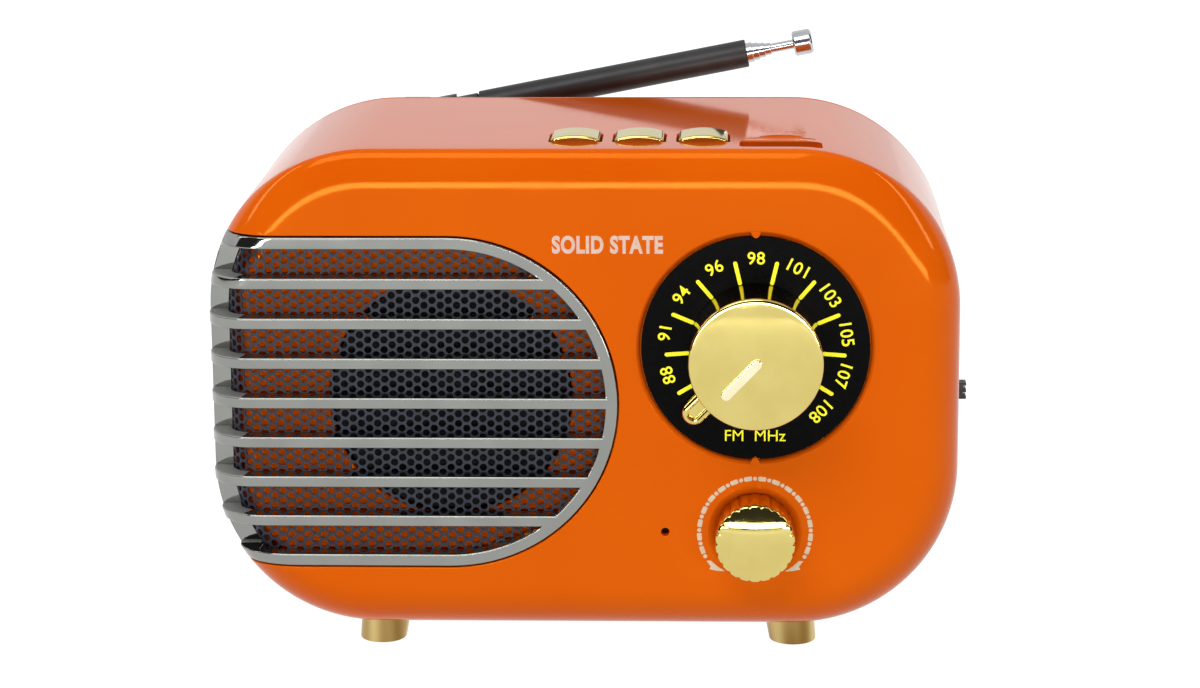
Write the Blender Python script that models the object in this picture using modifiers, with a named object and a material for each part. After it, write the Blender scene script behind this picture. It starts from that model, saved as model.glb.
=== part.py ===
"""A small portable radio in a retro style: a rounded cabinet with a wrap-round speaker
grille, a round tuning dial, a volume knob, three top keys and a telescopic antenna.

Everything is modelled in the cabinet's own frame: x = 0 is the middle of the cabinet,
y = 0 is its flat front face with +y towards the back, and z = 0 is the surface it
stands on. One empty then carries all of it, so that the origin of the world lies at
the middle of the base of the whole object's box.
"""
import math

import bmesh
import bpy
from mathutils import Matrix, Vector

GAP = 0.0003                       # between pieces that rest against each other
OVER = 0.004                       # how far a cutter runs past what it cuts

# Cabinet
BODY_WIDTH = 0.160
BODY_HEIGHT = 0.1049
BODY_DEPTH = 0.0762
CORNER_RADIUS = 0.03525
FRONT_FILLET = 0.0094
TOP_FILLET_DEPTH = 0.003
TOP_FILLET_START = 0.5
REAR_FILLET = 0.005
WALL = 0.0026
SEAM_Y = 0.0705
FOOT_HEIGHT = 0.0065
BODY_MIDDLE_Z = FOOT_HEIGHT + BODY_HEIGHT / 2
BODY_TOP_Z = FOOT_HEIGHT + BODY_HEIGHT
INNER_TOP_Z = BODY_TOP_Z - WALL
CORNER_STEPS = 7
FILLET_STEPS = 4
LIP_THICKNESS = 0.0014
LIP_FRONT_Y = 0.067

# Speaker grille, its pocket and the baffle behind it
GRILLE_X = -0.0284
GRILLE_Z = FOOT_HEIGHT + 0.05054
GRILLE_RADIUS = 0.03617
GRILLE_WINDOW_RADIUS = 0.0333
GRILLE_DEPTH = 0.004
BAR_PITCH = 0.00862
SLOT_HEIGHT = 0.00621
SLOT_COUNT = 8
END_BAND_FRONT_Y = 0.0098
END_BAND_BACK_Y = 0.0135
MESH_INSET = GRILLE_DEPTH + GAP
MESH_THICKNESS = 0.0004
BAFFLE_INSET = 0.005
BAFFLE_BACK = 0.0082
POCKET_WALL = 0.0024
POCKET_WALL_BACK_Y = 0.018
ARC_STEPS = 28

# Speaker
SPEAKER_OPENING_RADIUS = 0.026
SPEAKER_FLANGE = 0.062
SPEAKER_FLANGE_THICKNESS = 0.0012
SPEAKER_FRONT_Y = BAFFLE_BACK + GAP
SPEAKER_SCREW_OFFSET = 0.0255
SPEAKER_SCREW_HOLE_RADIUS = 0.0014
SPEAKER_SCREW_DEPTH = 0.0026
SPEAKER_CONE_RADIUS = 0.0245
COIL_RADIUS = 0.007
MAGNET_RADIUS = 0.015
SPEAKER_PLATE_Y = 0.0225

# Tuning dial and knob
DIAL_X = 0.0366
DIAL_Z = FOOT_HEIGHT + 0.06264
DIAL_RADIUS = 0.0244
DIAL_THICKNESS = 0.001
DIAL_POCKET_DEPTH = 0.0016
DIAL_BOSS_RADIUS = 0.026
DIAL_BOSS_BACK_Y = 0.0042
TUNING_KNOB_RADIUS = 0.014
TUNING_KNOB_BACK_Y = -0.0004
TUNING_KNOB_EDGE_Y = -0.0145
TUNING_KNOB_CROWN = 0.0009
POINTER_ANGLE = math.radians(226)
POINTER_BAR_START = -0.0014
POINTER_BAR_END = 0.0099
POINTER_BAR_WIDTH = 0.0022
POINTER_BAR_PROUD = 0.0006
POINTER_EAR_REACH = 0.0185
POINTER_EAR_WIDTH = 0.0054
POINTER_EAR_THICKNESS = 0.0024
SHAFT_RADIUS = 0.003
TUNING_BOX = 0.020
TUNING_BOX_FRONT_Y = 0.0133
TUNING_BUSH_FRONT_Y = 0.0008
TUNING_BUSH_RADIUS = 0.0046
TUNING_SHAFT_FRONT_Y = -0.0107
TUNING_SHAFT_BACK_Y = 0.022
TUNING_SHAFT_HOLE_RADIUS = 0.0049
DIAL_HOLE_RADIUS = 0.005
SHAFT_HOLE_BACK_Y = 0.009

# Volume knob in its dish
VOLUME_Z = FOOT_HEIGHT + 0.0225
VOLUME_KNOB_RADIUS = 0.0085
VOLUME_KNOB_EDGE_Y = -0.0095
VOLUME_KNOB_CROWN = 0.0007
VOLUME_KNOB_BACK_Y = 0.0003
DISH_RADIUS = 0.0097
DISH_FLOOR_RADIUS = 0.00725
DISH_DEPTH = 0.0023
DISH_BOSS_RADIUS = 0.012
DISH_BOSS_BACK_Y = 0.005
VOLUME_BOX = 0.016
VOLUME_BOX_FRONT_Y = 0.012
VOLUME_BUSH_FRONT_Y = 0.0028
VOLUME_BUSH_RADIUS = 0.0043
VOLUME_SHAFT_FRONT_Y = -0.0065
VOLUME_SHAFT_BACK_Y = 0.020
VOLUME_SHAFT_HOLE_RADIUS = 0.0046
VOLUME_HUB_RADIUS = 0.005
BOSS_OVERLAP = 0.0006              # how far a boss starts inside the wall it stands on

# Board, its posts and the microphone
BOARD_LEFT = 0.010
BOARD_RIGHT = 0.058
BOARD_LOW = 0.016
BOARD_HIGH = 0.088
BOARD_Y = 0.0244
BOARD_THICKNESS = 0.0016
BOARD_POST_RADIUS = 0.0025
BOARD_POST_INSET = 0.003
MICROPHONE_X = 0.01748
MICROPHONE_HOLE_RADIUS = 0.0009
MICROPHONE_RADIUS = 0.003
MICROPHONE_LENGTH = 0.0027

# Keys on the top
KEY_XS = (-0.0016, 0.01195, 0.0255)
KEY_Y = 0.0162
KEY_WIDTH = 0.0104
KEY_DEPTH = 0.0106
KEY_CLEARANCE = 0.0004
KEY_PROUD = 0.0014
KEY_EDGE_DROP = 0.0008
KEY_TRAVEL = 0.0008
KEY_FLANGE = 0.0011
KEY_STEM_RADIUS = 0.0012
KEY_FLANGE_THICKNESS = 0.0012
KEY_STEM_LOW = 0.0041              # above the key board
KEY_SWITCH_SIZE = 0.006
KEY_SWITCH_HEIGHT = 0.0042
KEY_WELL_RADIUS = 0.0018
KEY_WELL_DEPTH = 0.0022
KEY_BOARD_Z = 0.0985
KEY_BOARD_MARGIN = 0.0075
KEY_BOARD_FRONT = 0.008
KEY_BOARD_BACK = 0.0115
KEY_POST_BACK = 0.009
KEY_POST_RADIUS = 0.0018

# Card slot and USB socket on the top
PORT_X = 0.0419
CARD_SLIT_Y = 0.0156
CARD_SLIT_WIDTH = 0.0148
CARD_SLIT_GAP = 0.001
SCOOP_LENGTH = 0.0095
SCOOP_HALF_WIDTH = 0.0032
SCOOP_DEPTH = 0.0009
SCOOP_SET_BACK = 0.0008
CARD_SOCKET_HALF_DEPTH = 0.0013
CARD_SOCKET_HEIGHT = 0.0142
CARD_HALF_WIDTH = 0.0057
CARD_HALF_THICKNESS = 0.0005
CARD_REACH = 0.012
USB_Y = 0.00895
USB_RECESS_WIDTH = 0.0173
USB_RECESS_DEPTH = 0.0073
USB_RECESS_DROP = 0.003
USB_SHELL_WIDTH = 0.0131
USB_SHELL_DEPTH = 0.0057
USB_SHELL_WALL = 0.0003
USB_SHELL_LOW_Z = 0.095
USB_BOSS_HALF_WIDTH = 0.0098
USB_BOSS_FRONT_Y = 0.0045
USB_BOSS_BACK_Y = 0.0138
USB_BOSS_DROP = 0.006
USB_BLOCK = (0.0059, 0.0022, 0.002)          # half width, half depth and height
USB_TONGUE_HALF_WIDTH = 0.0054
USB_TONGUE_FRONT = -0.0021
USB_TONGUE_BACK = -0.0004

# Slide switch on the right-hand side
SWITCH_Y = 0.020
SWITCH_Z = 0.0556
SWITCH_KNOB_HEIGHT = 0.00365
SWITCH_KNOB_DEPTH = 0.0032
SWITCH_PROUD = 0.0022
SWITCH_TRAVEL = 0.0025
SWITCH_CLEARANCE = 0.0004
SWITCH_BODY_REACH = 0.010
SWITCH_BODY_HALF_DEPTH = 0.005
SWITCH_BODY_BELOW = 0.0055
SWITCH_BODY_ABOVE = 0.0085
SWITCH_WELL_REACH = 0.0063
SWITCH_KNOB_REACH = 0.006
SWITCH_GROOVE_DEPTH = 0.0007

# Back: posts, screws, ports and the cell
POST_REACH = 0.027
POST_RADIUS = 0.0036
POST_PILOT_RADIUS = 0.0016
RIGHT_POST_FRONT_Y = 0.0022
LEFT_POST_FRONT_Y = 0.015
POST_PILOT_FRONT_Y = 0.055
SCREW_HEAD_RADIUS = 0.003
SCREW_HEAD_HEIGHT = 0.0012
SCREW_SHANK_RADIUS = 0.0013
SCREW_LENGTH = 0.014
SCREW_HOLE_RADIUS = 0.0019
SCREW_SINK = 0.0016
PORT_SET_BACK = 0.0004
PORT_HOLE_FRONT_Y = 0.070
CHARGE_X = 0.050
CHARGE_HALF = (0.0042, 0.0017)
CHARGE_HOLE_HALF = (0.0048, 0.0022)
CHARGE_WALL = 0.0005
CHARGE_FRONT_Y = 0.0665
CHARGE_SOCKET_FRONT_Y = 0.069
JACK_X = 0.034
JACK_RADIUS = 0.003
JACK_HOLE_RADIUS = 0.0034
JACK_BORE_RADIUS = 0.0018
JACK_FRONT_Y = 0.064
JACK_BORE_FRONT_Y = 0.0655
BACK_PORT_Z = 0.030
VENT_COUNT = 7
VENT_PITCH = 0.006
VENT_HEIGHT = 0.022
VENT_WIDTH = 0.002
VENT_FRONT_Y = 0.071
CELL_RADIUS = 0.0091
CELL_LENGTH = 0.065
CELL_Y = 0.0555
CELL_Z = 0.0205
CELL_HOLDER_MARGIN = 0.004
CELL_HOLDER_HALF_DEPTH = 0.0105

# Feet
FOOT_X = 0.0442
FOOT_YS = (0.017, 0.059)
FOOT_TOP_RADIUS = 0.0054
FOOT_BOTTOM_RADIUS = 0.00505
FOOT_SPLAY = 0.0008
FOOT_SPIGOT_RADIUS = 0.0024

# Antenna: places along it are measured from its pivot
ANTENNA_PIVOT_X = -0.041
ANTENNA_PIVOT_Z = 0.10536
ANTENNA_Y = 0.0809
ANTENNA_LIFT = math.radians(11)
ANTENNA_SLEEVE_RADIUS = 0.00318
ANTENNA_SLEEVE_BORE = 0.0025
ANTENNA_SLEEVE_START = 0.0148
ANTENNA_SLEEVE_END = 0.0773
ANTENNA_TONGUE_THICKNESS = 0.003
ANTENNA_TONGUE_WIDTH = 0.007
ANTENNA_NECK_RADIUS = 0.00285
ANTENNA_SECTIONS = 4
ANTENNA_SECTION_RADIUS = 0.0023
ANTENNA_SECTION_STEP = 0.0003
ANTENNA_SECTION_WALL = 0.00018
ANTENNA_SECTION_SHOWS = 0.0014
ANTENNA_ROD_RADIUS = 0.00108
ANTENNA_TIP_START = 0.0881
ANTENNA_TIP_END = 0.0925
ANTENNA_TIP_RADIUS = 0.00288
BRACKET_WIDTH = 0.011
BRACKET_LOW_Z = 0.093
BRACKET_TOP_Z = 0.1104
BRACKET_THICKNESS = 0.0026

# The whole object's box, which sets where the origin lies
BOX_LEFT = -BODY_WIDTH / 2
BOX_RIGHT = BODY_WIDTH / 2 + SWITCH_PROUD
BOX_FRONT = TUNING_KNOB_EDGE_Y - TUNING_KNOB_CROWN - POINTER_BAR_PROUD
BOX_BACK = ANTENNA_Y + ANTENNA_SLEEVE_RADIUS

ROUND_STEPS = 24
FRONT_FACING = (math.pi / 2, 0.0, 0.0)      # local +Z points out of the front face

for old in list(bpy.data.objects):
    bpy.data.objects.remove(old, do_unlink=True)


def make_collection(name):
    made = bpy.data.collections.new(name)
    bpy.context.scene.collection.children.link(made)
    return made


PARTS = make_collection("retro_portable_radio")
CUTTERS = make_collection("cutters")
CABINET_FRAME = bpy.data.objects.new("cabinet_frame", None)
CABINET_FRAME.location = (-(BOX_LEFT + BOX_RIGHT) / 2, -(BOX_FRONT + BOX_BACK) / 2, 0.0)
PARTS.objects.link(CABINET_FRAME)


def make_material(name, colour, roughness, metallic):
    made = bpy.data.materials.new(name)
    made.use_nodes = True
    shader = made.node_tree.nodes["Principled BSDF"]
    shader.inputs["Base Color"].default_value = (*colour, 1.0)
    shader.inputs["Roughness"].default_value = roughness
    shader.inputs["Metallic"].default_value = metallic
    made.diffuse_color = (*colour, 1.0)
    return made


ORANGE = make_material("orange_gloss", (0.78, 0.12, 0.01), 0.18, 0.0)
GUNMETAL = make_material("gunmetal_plate", (0.32, 0.33, 0.33), 0.12, 1.0)
MESH_PAINT = make_material("mesh_paint", (0.10, 0.12, 0.16), 0.35, 0.6)
DIAL_BLACK = make_material("dial_black", (0.004, 0.004, 0.005), 0.25, 0.0)
GOLD = make_material("gold_plate", (0.83, 0.65, 0.28), 0.10, 1.0)
SATIN_GOLD = make_material("satin_gold", (0.72, 0.56, 0.25), 0.35, 1.0)
BLACK_PLASTIC = make_material("black_plastic", (0.02, 0.02, 0.02), 0.40, 0.0)
SLEEVE_BLACK = make_material("sleeve_black", (0.03, 0.03, 0.03), 0.22, 0.0)
CHROME = make_material("chrome", (0.80, 0.80, 0.82), 0.08, 1.0)
STEEL = make_material("steel", (0.50, 0.50, 0.52), 0.30, 1.0)
IRON = make_material("ferrite", (0.06, 0.06, 0.065), 0.60, 0.2)
PAPER = make_material("cone_paper", (0.02, 0.02, 0.022), 0.80, 0.0)
COPPER = make_material("copper", (0.70, 0.32, 0.15), 0.30, 1.0)
GREEN_BOARD = make_material("circuit_board", (0.02, 0.16, 0.06), 0.45, 0.0)
CELL_WRAP = make_material("cell_wrap", (0.03, 0.12, 0.40), 0.35, 0.0)


# Tools ---------------------------------------------------------------------------

def place_object(made, material):
    """Link an object as a part with its material, or as a hidden cutter without one."""
    if material is None:
        CUTTERS.objects.link(made)
        made.hide_render = True
        made.display_type = "WIRE"
    else:
        PARTS.objects.link(made)
        made.data.materials.append(material)
    made.parent = CABINET_FRAME
    return made


def finish_mesh(name, bm, material, pivot=(0.0, 0.0, 0.0)):
    """Turn a bmesh drawn in the cabinet's frame into an object with its origin at pivot."""
    bmesh.ops.translate(bm, vec=-Vector(pivot), verts=bm.verts)
    bmesh.ops.recalc_face_normals(bm, faces=bm.faces)
    mesh = bpy.data.meshes.new(name)
    bm.to_mesh(mesh)
    bm.free()
    mesh.shade_smooth()
    mesh.set_sharp_from_angle(angle=math.radians(35))
    made = bpy.data.objects.new(name, mesh)
    made.location = pivot
    return place_object(made, material)


def add_box(bm, low, high):
    low, high = Vector(low), Vector(high)
    matrix = Matrix.Translation((low + high) / 2) @ Matrix.Diagonal((high - low).to_4d())
    bmesh.ops.create_cube(bm, size=1.0, matrix=matrix)


def add_cylinder(bm, start, end, radius, end_radius=None, sides=ROUND_STEPS):
    start, end = Vector(start), Vector(end)
    turn = (end - start).to_track_quat("Z", "Y").to_matrix().to_4x4()
    bmesh.ops.create_cone(
        bm, cap_ends=True, segments=sides, radius1=radius,
        radius2=radius if end_radius is None else end_radius,
        depth=(end - start).length, matrix=Matrix.Translation((start + end) / 2) @ turn)


def round_edges(bm, chosen, radius, steps):
    edges = [edge for edge in bm.edges if chosen(edge)]
    bmesh.ops.bevel(bm, geom=edges, offset=radius, offset_type="OFFSET",
                    segments=steps, profile=0.5, affect="EDGES")


def lies_at(edge, axis, value):
    return all(abs(vertex.co[axis] - value) < 1e-6 for vertex in edge.verts)


def runs_along(edge, axis):
    return abs((edge.verts[0].co - edge.verts[1].co)[axis]) > edge.calc_length() * 0.999


def box_part(name, low, high, material):
    bm = bmesh.new()
    add_box(bm, low, high)
    return finish_mesh(name, bm, material)


def cylinder_part(name, start, end, radius, material, sides=ROUND_STEPS):
    bm = bmesh.new()
    add_cylinder(bm, start, end, radius, sides=sides)
    return finish_mesh(name, bm, material)


def turned_part(name, profile, centre, rotation, material, closed=False, steps=ROUND_STEPS):
    """Turn a profile of (radius, height) points, top to bottom, about its own Z axis."""
    mesh = bpy.data.meshes.new(name)
    edges = [(i, i + 1) for i in range(len(profile) - 1)]
    if closed:
        edges.append((len(profile) - 1, 0))
    mesh.from_pydata([(radius, 0.0, height) for radius, height in profile], edges, [])
    made = bpy.data.objects.new(name, mesh)
    made.location = centre
    made.rotation_euler = rotation
    screw = made.modifiers.new("Turn", "SCREW")
    screw.steps = steps
    screw.render_steps = steps
    screw.use_merge_vertices = True
    screw.merge_threshold = 1e-5
    screw.use_smooth_shade = True
    return place_object(made, material)


def outline_part(name, points, front, back, material, centre=(0.0, 0.0)):
    """Extrude a flat outline of (x, z) points from y = front to y = back."""
    curve = bpy.data.curves.new(name, "CURVE")
    curve.dimensions = "2D"
    curve.fill_mode = "BOTH"
    curve.extrude = (back - front) / 2
    spline = curve.splines.new("POLY")
    spline.points.add(len(points) - 1)
    for point, (x, z) in zip(spline.points, points):
        point.co = (x, z, 0.0, 1.0)
    spline.use_cyclic_u = True
    drawn = bpy.data.objects.new(name + "_curve", curve)
    CUTTERS.objects.link(drawn)
    graph = bpy.context.evaluated_depsgraph_get()
    mesh = bpy.data.meshes.new_from_object(drawn.evaluated_get(graph))
    bpy.data.objects.remove(drawn, do_unlink=True)
    bm = bmesh.new()
    bm.from_mesh(mesh)
    bmesh.ops.remove_doubles(bm, verts=bm.verts, dist=1e-6)
    bmesh.ops.rotate(bm, verts=bm.verts, matrix=Matrix.Rotation(math.pi / 2, 3, "X"))
    bmesh.ops.translate(bm, vec=(centre[0], (front + back) / 2, centre[1]), verts=bm.verts)
    return finish_mesh(name, bm, material)


def boolean(target, other, operation="DIFFERENCE"):
    modifier = target.modifiers.new(other.name, "BOOLEAN")
    modifier.operation = operation
    modifier.solver = "EXACT"
    modifier.object = other


def arc(radius, start, end, steps):
    for i in range(steps + 1):
        angle = start + (end - start) * i / steps
        yield radius * math.cos(angle), radius * math.sin(angle)


def flatten_top_fillet(bm):
    """Along the top the front rounding reaches back less than it reaches down. The change
    runs through the two upper corners."""
    middle_x = BODY_WIDTH / 2 - CORNER_RADIUS
    middle_z = BODY_TOP_Z - CORNER_RADIUS
    for vertex in bm.verts:
        x, y, z = vertex.co
        if y < FRONT_FILLET and z > middle_z:
            upwards = (z - middle_z) / math.hypot(max(abs(x) - middle_x, 0.0), z - middle_z)
            share = max(0.0, (upwards - TOP_FILLET_START) / (1 - TOP_FILLET_START))
            share = share * share * (3 - 2 * share)
            vertex.co.y = y * (1 + share * (TOP_FILLET_DEPTH / FRONT_FILLET - 1))


def rounded_body(name, inset, front, back, front_fillet, rear_fillet, material=None):
    """The cabinet's rounded block with every side moved in by inset."""
    bm = bmesh.new()
    half_width = BODY_WIDTH / 2 - inset
    add_box(bm, (-half_width, front, FOOT_HEIGHT + inset), (half_width, back, BODY_TOP_Z - inset))
    round_edges(bm, lambda edge: runs_along(edge, 1), CORNER_RADIUS - inset, CORNER_STEPS)
    if front_fillet > 0.0:
        round_edges(bm, lambda edge: lies_at(edge, 1, front), front_fillet, FILLET_STEPS)
    if inset == 0.0:
        flatten_top_fillet(bm)
    if rear_fillet > 0.0:
        round_edges(bm, lambda edge: lies_at(edge, 1, back), rear_fillet, FILLET_STEPS)
    return finish_mesh(name, bm, material)


def layer_under_front(name, inset, back, material=None):
    """Everything deeper than inset below the cabinet's front and side surface."""
    return rounded_body(name, inset, inset, back, FRONT_FILLET - inset, 0.0, material)


def grille_outline(radius):
    """A D lying on its back: straight out past the left side, half round on the right."""
    left = -BODY_WIDTH / 2 - OVER - GRILLE_X
    return [(left, radius), (left, -radius), *arc(radius, -math.pi / 2, math.pi / 2, ARC_STEPS)]


def grille_block(name, radius, front, back):
    return outline_part(name, grille_outline(radius), front, back, None, (GRILLE_X, GRILLE_Z))


def post_places():
    """Name and centre (x, z) of the four corner posts that take the cover's screws."""
    reach = POST_REACH / math.sqrt(2)
    for side, x_sign in (("left", -1), ("right", 1)):
        for level, z_sign in (("lower", -1), ("upper", 1)):
            x = x_sign * (BODY_WIDTH / 2 - CORNER_RADIUS + reach)
            z = BODY_MIDDLE_Z + z_sign * (BODY_HEIGHT / 2 - CORNER_RADIUS + reach)
            yield f"{level}_{side}", x, z


def foot_places():
    for row, y in zip(("front", "rear"), FOOT_YS):
        for side, sign in (("left", -1), ("right", 1)):
            yield f"{row}_{side}", sign, y


def speaker_screw_places():
    for number, (sx, sz) in enumerate(((-1, 1), (1, 1), (-1, -1), (1, -1)), start=1):
        yield number, GRILLE_X + sx * SPEAKER_SCREW_OFFSET, GRILLE_Z + sz * SPEAKER_SCREW_OFFSET


# Cabinet -------------------------------------------------------------------------

def cabinet_hollow():
    """The inside, kept clear of the walls of the grille's pocket."""
    hollow = rounded_body("cutter_hollow", WALL, WALL, SEAM_Y + OVER, FRONT_FILLET - WALL, 0.0)
    keep = grille_block("cutter_pocket_wall", GRILLE_RADIUS + POCKET_WALL, -OVER, POCKET_WALL_BACK_Y)
    boolean(hollow, keep)
    return hollow


def cabinet_posts():
    """Posts and thicker places that stand on the cabinet's inner walls."""
    bm = bmesh.new()
    for name, x, z in post_places():
        front = LEFT_POST_FRONT_Y if name.endswith("left") else RIGHT_POST_FRONT_Y
        add_cylinder(bm, (x, front, z), (x, BODY_DEPTH - WALL - GAP, z), POST_RADIUS, sides=14)
    inset = BOARD_POST_INSET
    for x in (BOARD_LEFT + inset, BOARD_RIGHT - inset):
        for z in (BOARD_LOW + inset, BOARD_HIGH - inset):
            add_cylinder(bm, (x, WALL / 2, z), (x, BOARD_Y - GAP, z), BOARD_POST_RADIUS, sides=10)
    return finish_mesh("cutter_posts", bm, None)


def cabinet_bosses():
    bm = bmesh.new()
    add_cylinder(bm, (DIAL_X, WALL - BOSS_OVERLAP, DIAL_Z), (DIAL_X, DIAL_BOSS_BACK_Y, DIAL_Z),
                 DIAL_BOSS_RADIUS, sides=28)
    add_cylinder(bm, (DIAL_X, WALL - BOSS_OVERLAP, VOLUME_Z), (DIAL_X, DISH_BOSS_BACK_Y, VOLUME_Z),
                 DISH_BOSS_RADIUS)
    add_box(bm, (PORT_X - USB_BOSS_HALF_WIDTH, USB_BOSS_FRONT_Y, BODY_TOP_Z - USB_BOSS_DROP),
            (PORT_X + USB_BOSS_HALF_WIDTH, USB_BOSS_BACK_Y, INNER_TOP_Z + GAP))
    middles = [(KEY_XS[0] + KEY_XS[1]) / 2, (KEY_XS[1] + KEY_XS[2]) / 2]
    for x in middles:
        low = KEY_BOARD_Z + BOARD_THICKNESS + GAP
        y = KEY_Y + KEY_POST_BACK
        add_cylinder(bm, (x, y, low), (x, y, INNER_TOP_Z + WALL / 2), KEY_POST_RADIUS, sides=12)
    return finish_mesh("cutter_bosses", bm, None)


def front_openings():
    bm = bmesh.new()
    add_cylinder(bm, (GRILLE_X, -OVER, GRILLE_Z), (GRILLE_X, POCKET_WALL_BACK_Y, GRILLE_Z),
                 SPEAKER_OPENING_RADIUS, sides=36)
    for _, x, z in speaker_screw_places():
        add_cylinder(bm, (x, BAFFLE_BACK - SPEAKER_SCREW_DEPTH, z), (x, BAFFLE_BACK + 0.001, z),
                     SPEAKER_SCREW_HOLE_RADIUS, sides=8)
    add_cylinder(bm, (DIAL_X, -OVER, DIAL_Z), (DIAL_X, DIAL_POCKET_DEPTH, DIAL_Z), DIAL_RADIUS,
                 sides=48)
    add_cylinder(bm, (MICROPHONE_X, -OVER, VOLUME_Z), (MICROPHONE_X, WALL + 0.001, VOLUME_Z),
                 MICROPHONE_HOLE_RADIUS, sides=16)
    return finish_mesh("cutter_front_openings", bm, None)


def shaft_openings():
    bm = bmesh.new()
    for z, radius in ((DIAL_Z, TUNING_SHAFT_HOLE_RADIUS), (VOLUME_Z, VOLUME_SHAFT_HOLE_RADIUS)):
        add_cylinder(bm, (DIAL_X, -OVER, z), (DIAL_X, SHAFT_HOLE_BACK_Y, z), radius, sides=22)
    return finish_mesh("cutter_shaft_openings", bm, None)


def dish_opening():
    slope = (DISH_RADIUS - DISH_FLOOR_RADIUS) / DISH_DEPTH
    mouth = DISH_RADIUS + slope * OVER
    profile = [(0.0, OVER), (mouth, OVER), (DISH_FLOOR_RADIUS, -DISH_DEPTH), (0.0, -DISH_DEPTH)]
    return turned_part("cutter_dish", profile, (DIAL_X, 0.0, VOLUME_Z), FRONT_FACING, None)


def top_openings():
    bm = bmesh.new()
    low, high = INNER_TOP_Z - OVER, BODY_TOP_Z + OVER
    half = (KEY_WIDTH / 2 + KEY_CLEARANCE, KEY_DEPTH / 2 + KEY_CLEARANCE)
    for x in KEY_XS:
        add_box(bm, (x - half[0], KEY_Y - half[1], low), (x + half[0], KEY_Y + half[1], high))
    add_box(bm, (PORT_X - CARD_SLIT_WIDTH / 2, CARD_SLIT_Y - CARD_SLIT_GAP / 2, low),
            (PORT_X + CARD_SLIT_WIDTH / 2, CARD_SLIT_Y + CARD_SLIT_GAP / 2, high))
    add_box(bm, (PORT_X - USB_RECESS_WIDTH / 2, USB_Y - USB_RECESS_DEPTH / 2,
                 BODY_TOP_Z - USB_RECESS_DROP),
            (PORT_X + USB_RECESS_WIDTH / 2, USB_Y + USB_RECESS_DEPTH / 2, high))
    round_edges(bm, lambda edge: runs_along(edge, 2) and edge.calc_length() > OVER,
                CARD_SLIT_GAP * 0.4, 3)
    return finish_mesh("cutter_top_openings", bm, None)


def usb_opening():
    half_x, half_y = USB_SHELL_WIDTH / 2 + GAP, USB_SHELL_DEPTH / 2 + GAP
    return box_part("cutter_usb",
                    (PORT_X - half_x, USB_Y - half_y, BODY_TOP_Z - 2 * USB_BOSS_DROP),
                    (PORT_X + half_x, USB_Y + half_y, BODY_TOP_Z - USB_RECESS_DROP / 2), None)


def finger_scoop():
    """A shallow finger hollow behind the card slit."""
    bm = bmesh.new()
    matrix = Matrix.Translation((PORT_X, CARD_SLIT_Y + SCOOP_SET_BACK, BODY_TOP_Z))
    matrix = matrix @ Matrix.Diagonal((SCOOP_LENGTH / 2, SCOOP_HALF_WIDTH, SCOOP_DEPTH, 1.0))
    bmesh.ops.create_uvsphere(bm, u_segments=16, v_segments=8, radius=1.0, matrix=matrix)
    return finish_mesh("cutter_scoop", bm, None)


def side_and_base_openings():
    bm = bmesh.new()
    half = SWITCH_KNOB_DEPTH / 2 + SWITCH_CLEARANCE
    low = SWITCH_Z - SWITCH_KNOB_HEIGHT / 2 - SWITCH_CLEARANCE
    high = SWITCH_Z + SWITCH_KNOB_HEIGHT / 2 + SWITCH_TRAVEL + SWITCH_CLEARANCE
    side = BODY_WIDTH / 2
    add_box(bm, (side - WALL - OVER, SWITCH_Y - half, low), (side + OVER, SWITCH_Y + half, high))
    for _, sign, y in foot_places():
        add_cylinder(bm, (sign * FOOT_X, y, FOOT_HEIGHT - OVER),
                     (sign * FOOT_X, y, FOOT_HEIGHT + WALL + 0.001),
                     FOOT_SPIGOT_RADIUS + GAP, sides=14)
    for _, x, z in post_places():
        add_cylinder(bm, (x, POST_PILOT_FRONT_Y, z), (x, BODY_DEPTH, z), POST_PILOT_RADIUS,
                     sides=10)
    return finish_mesh("cutter_side_and_base", bm, None)


def front_cabinet():
    cabinet = rounded_body("front_cabinet", 0.0, 0.0, SEAM_Y, FRONT_FILLET, 0.0, ORANGE)
    boolean(cabinet, layer_under_front("cutter_deep_hollow", BAFFLE_BACK, SEAM_Y + OVER))
    boolean(cabinet, cabinet_hollow())
    pocket = grille_block("cutter_pocket", GRILLE_RADIUS, -OVER, END_BAND_BACK_Y + GAP)
    boolean(pocket, layer_under_front("cutter_pocket_floor", BAFFLE_INSET, SEAM_Y))
    boolean(cabinet, pocket)
    boolean(cabinet, cabinet_posts(), "UNION")
    boolean(cabinet, cabinet_bosses(), "UNION")
    for opening in (front_openings, dish_opening, shaft_openings, top_openings, usb_opening,
                    finger_scoop, side_and_base_openings):
        boolean(cabinet, opening())
    return cabinet


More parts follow.
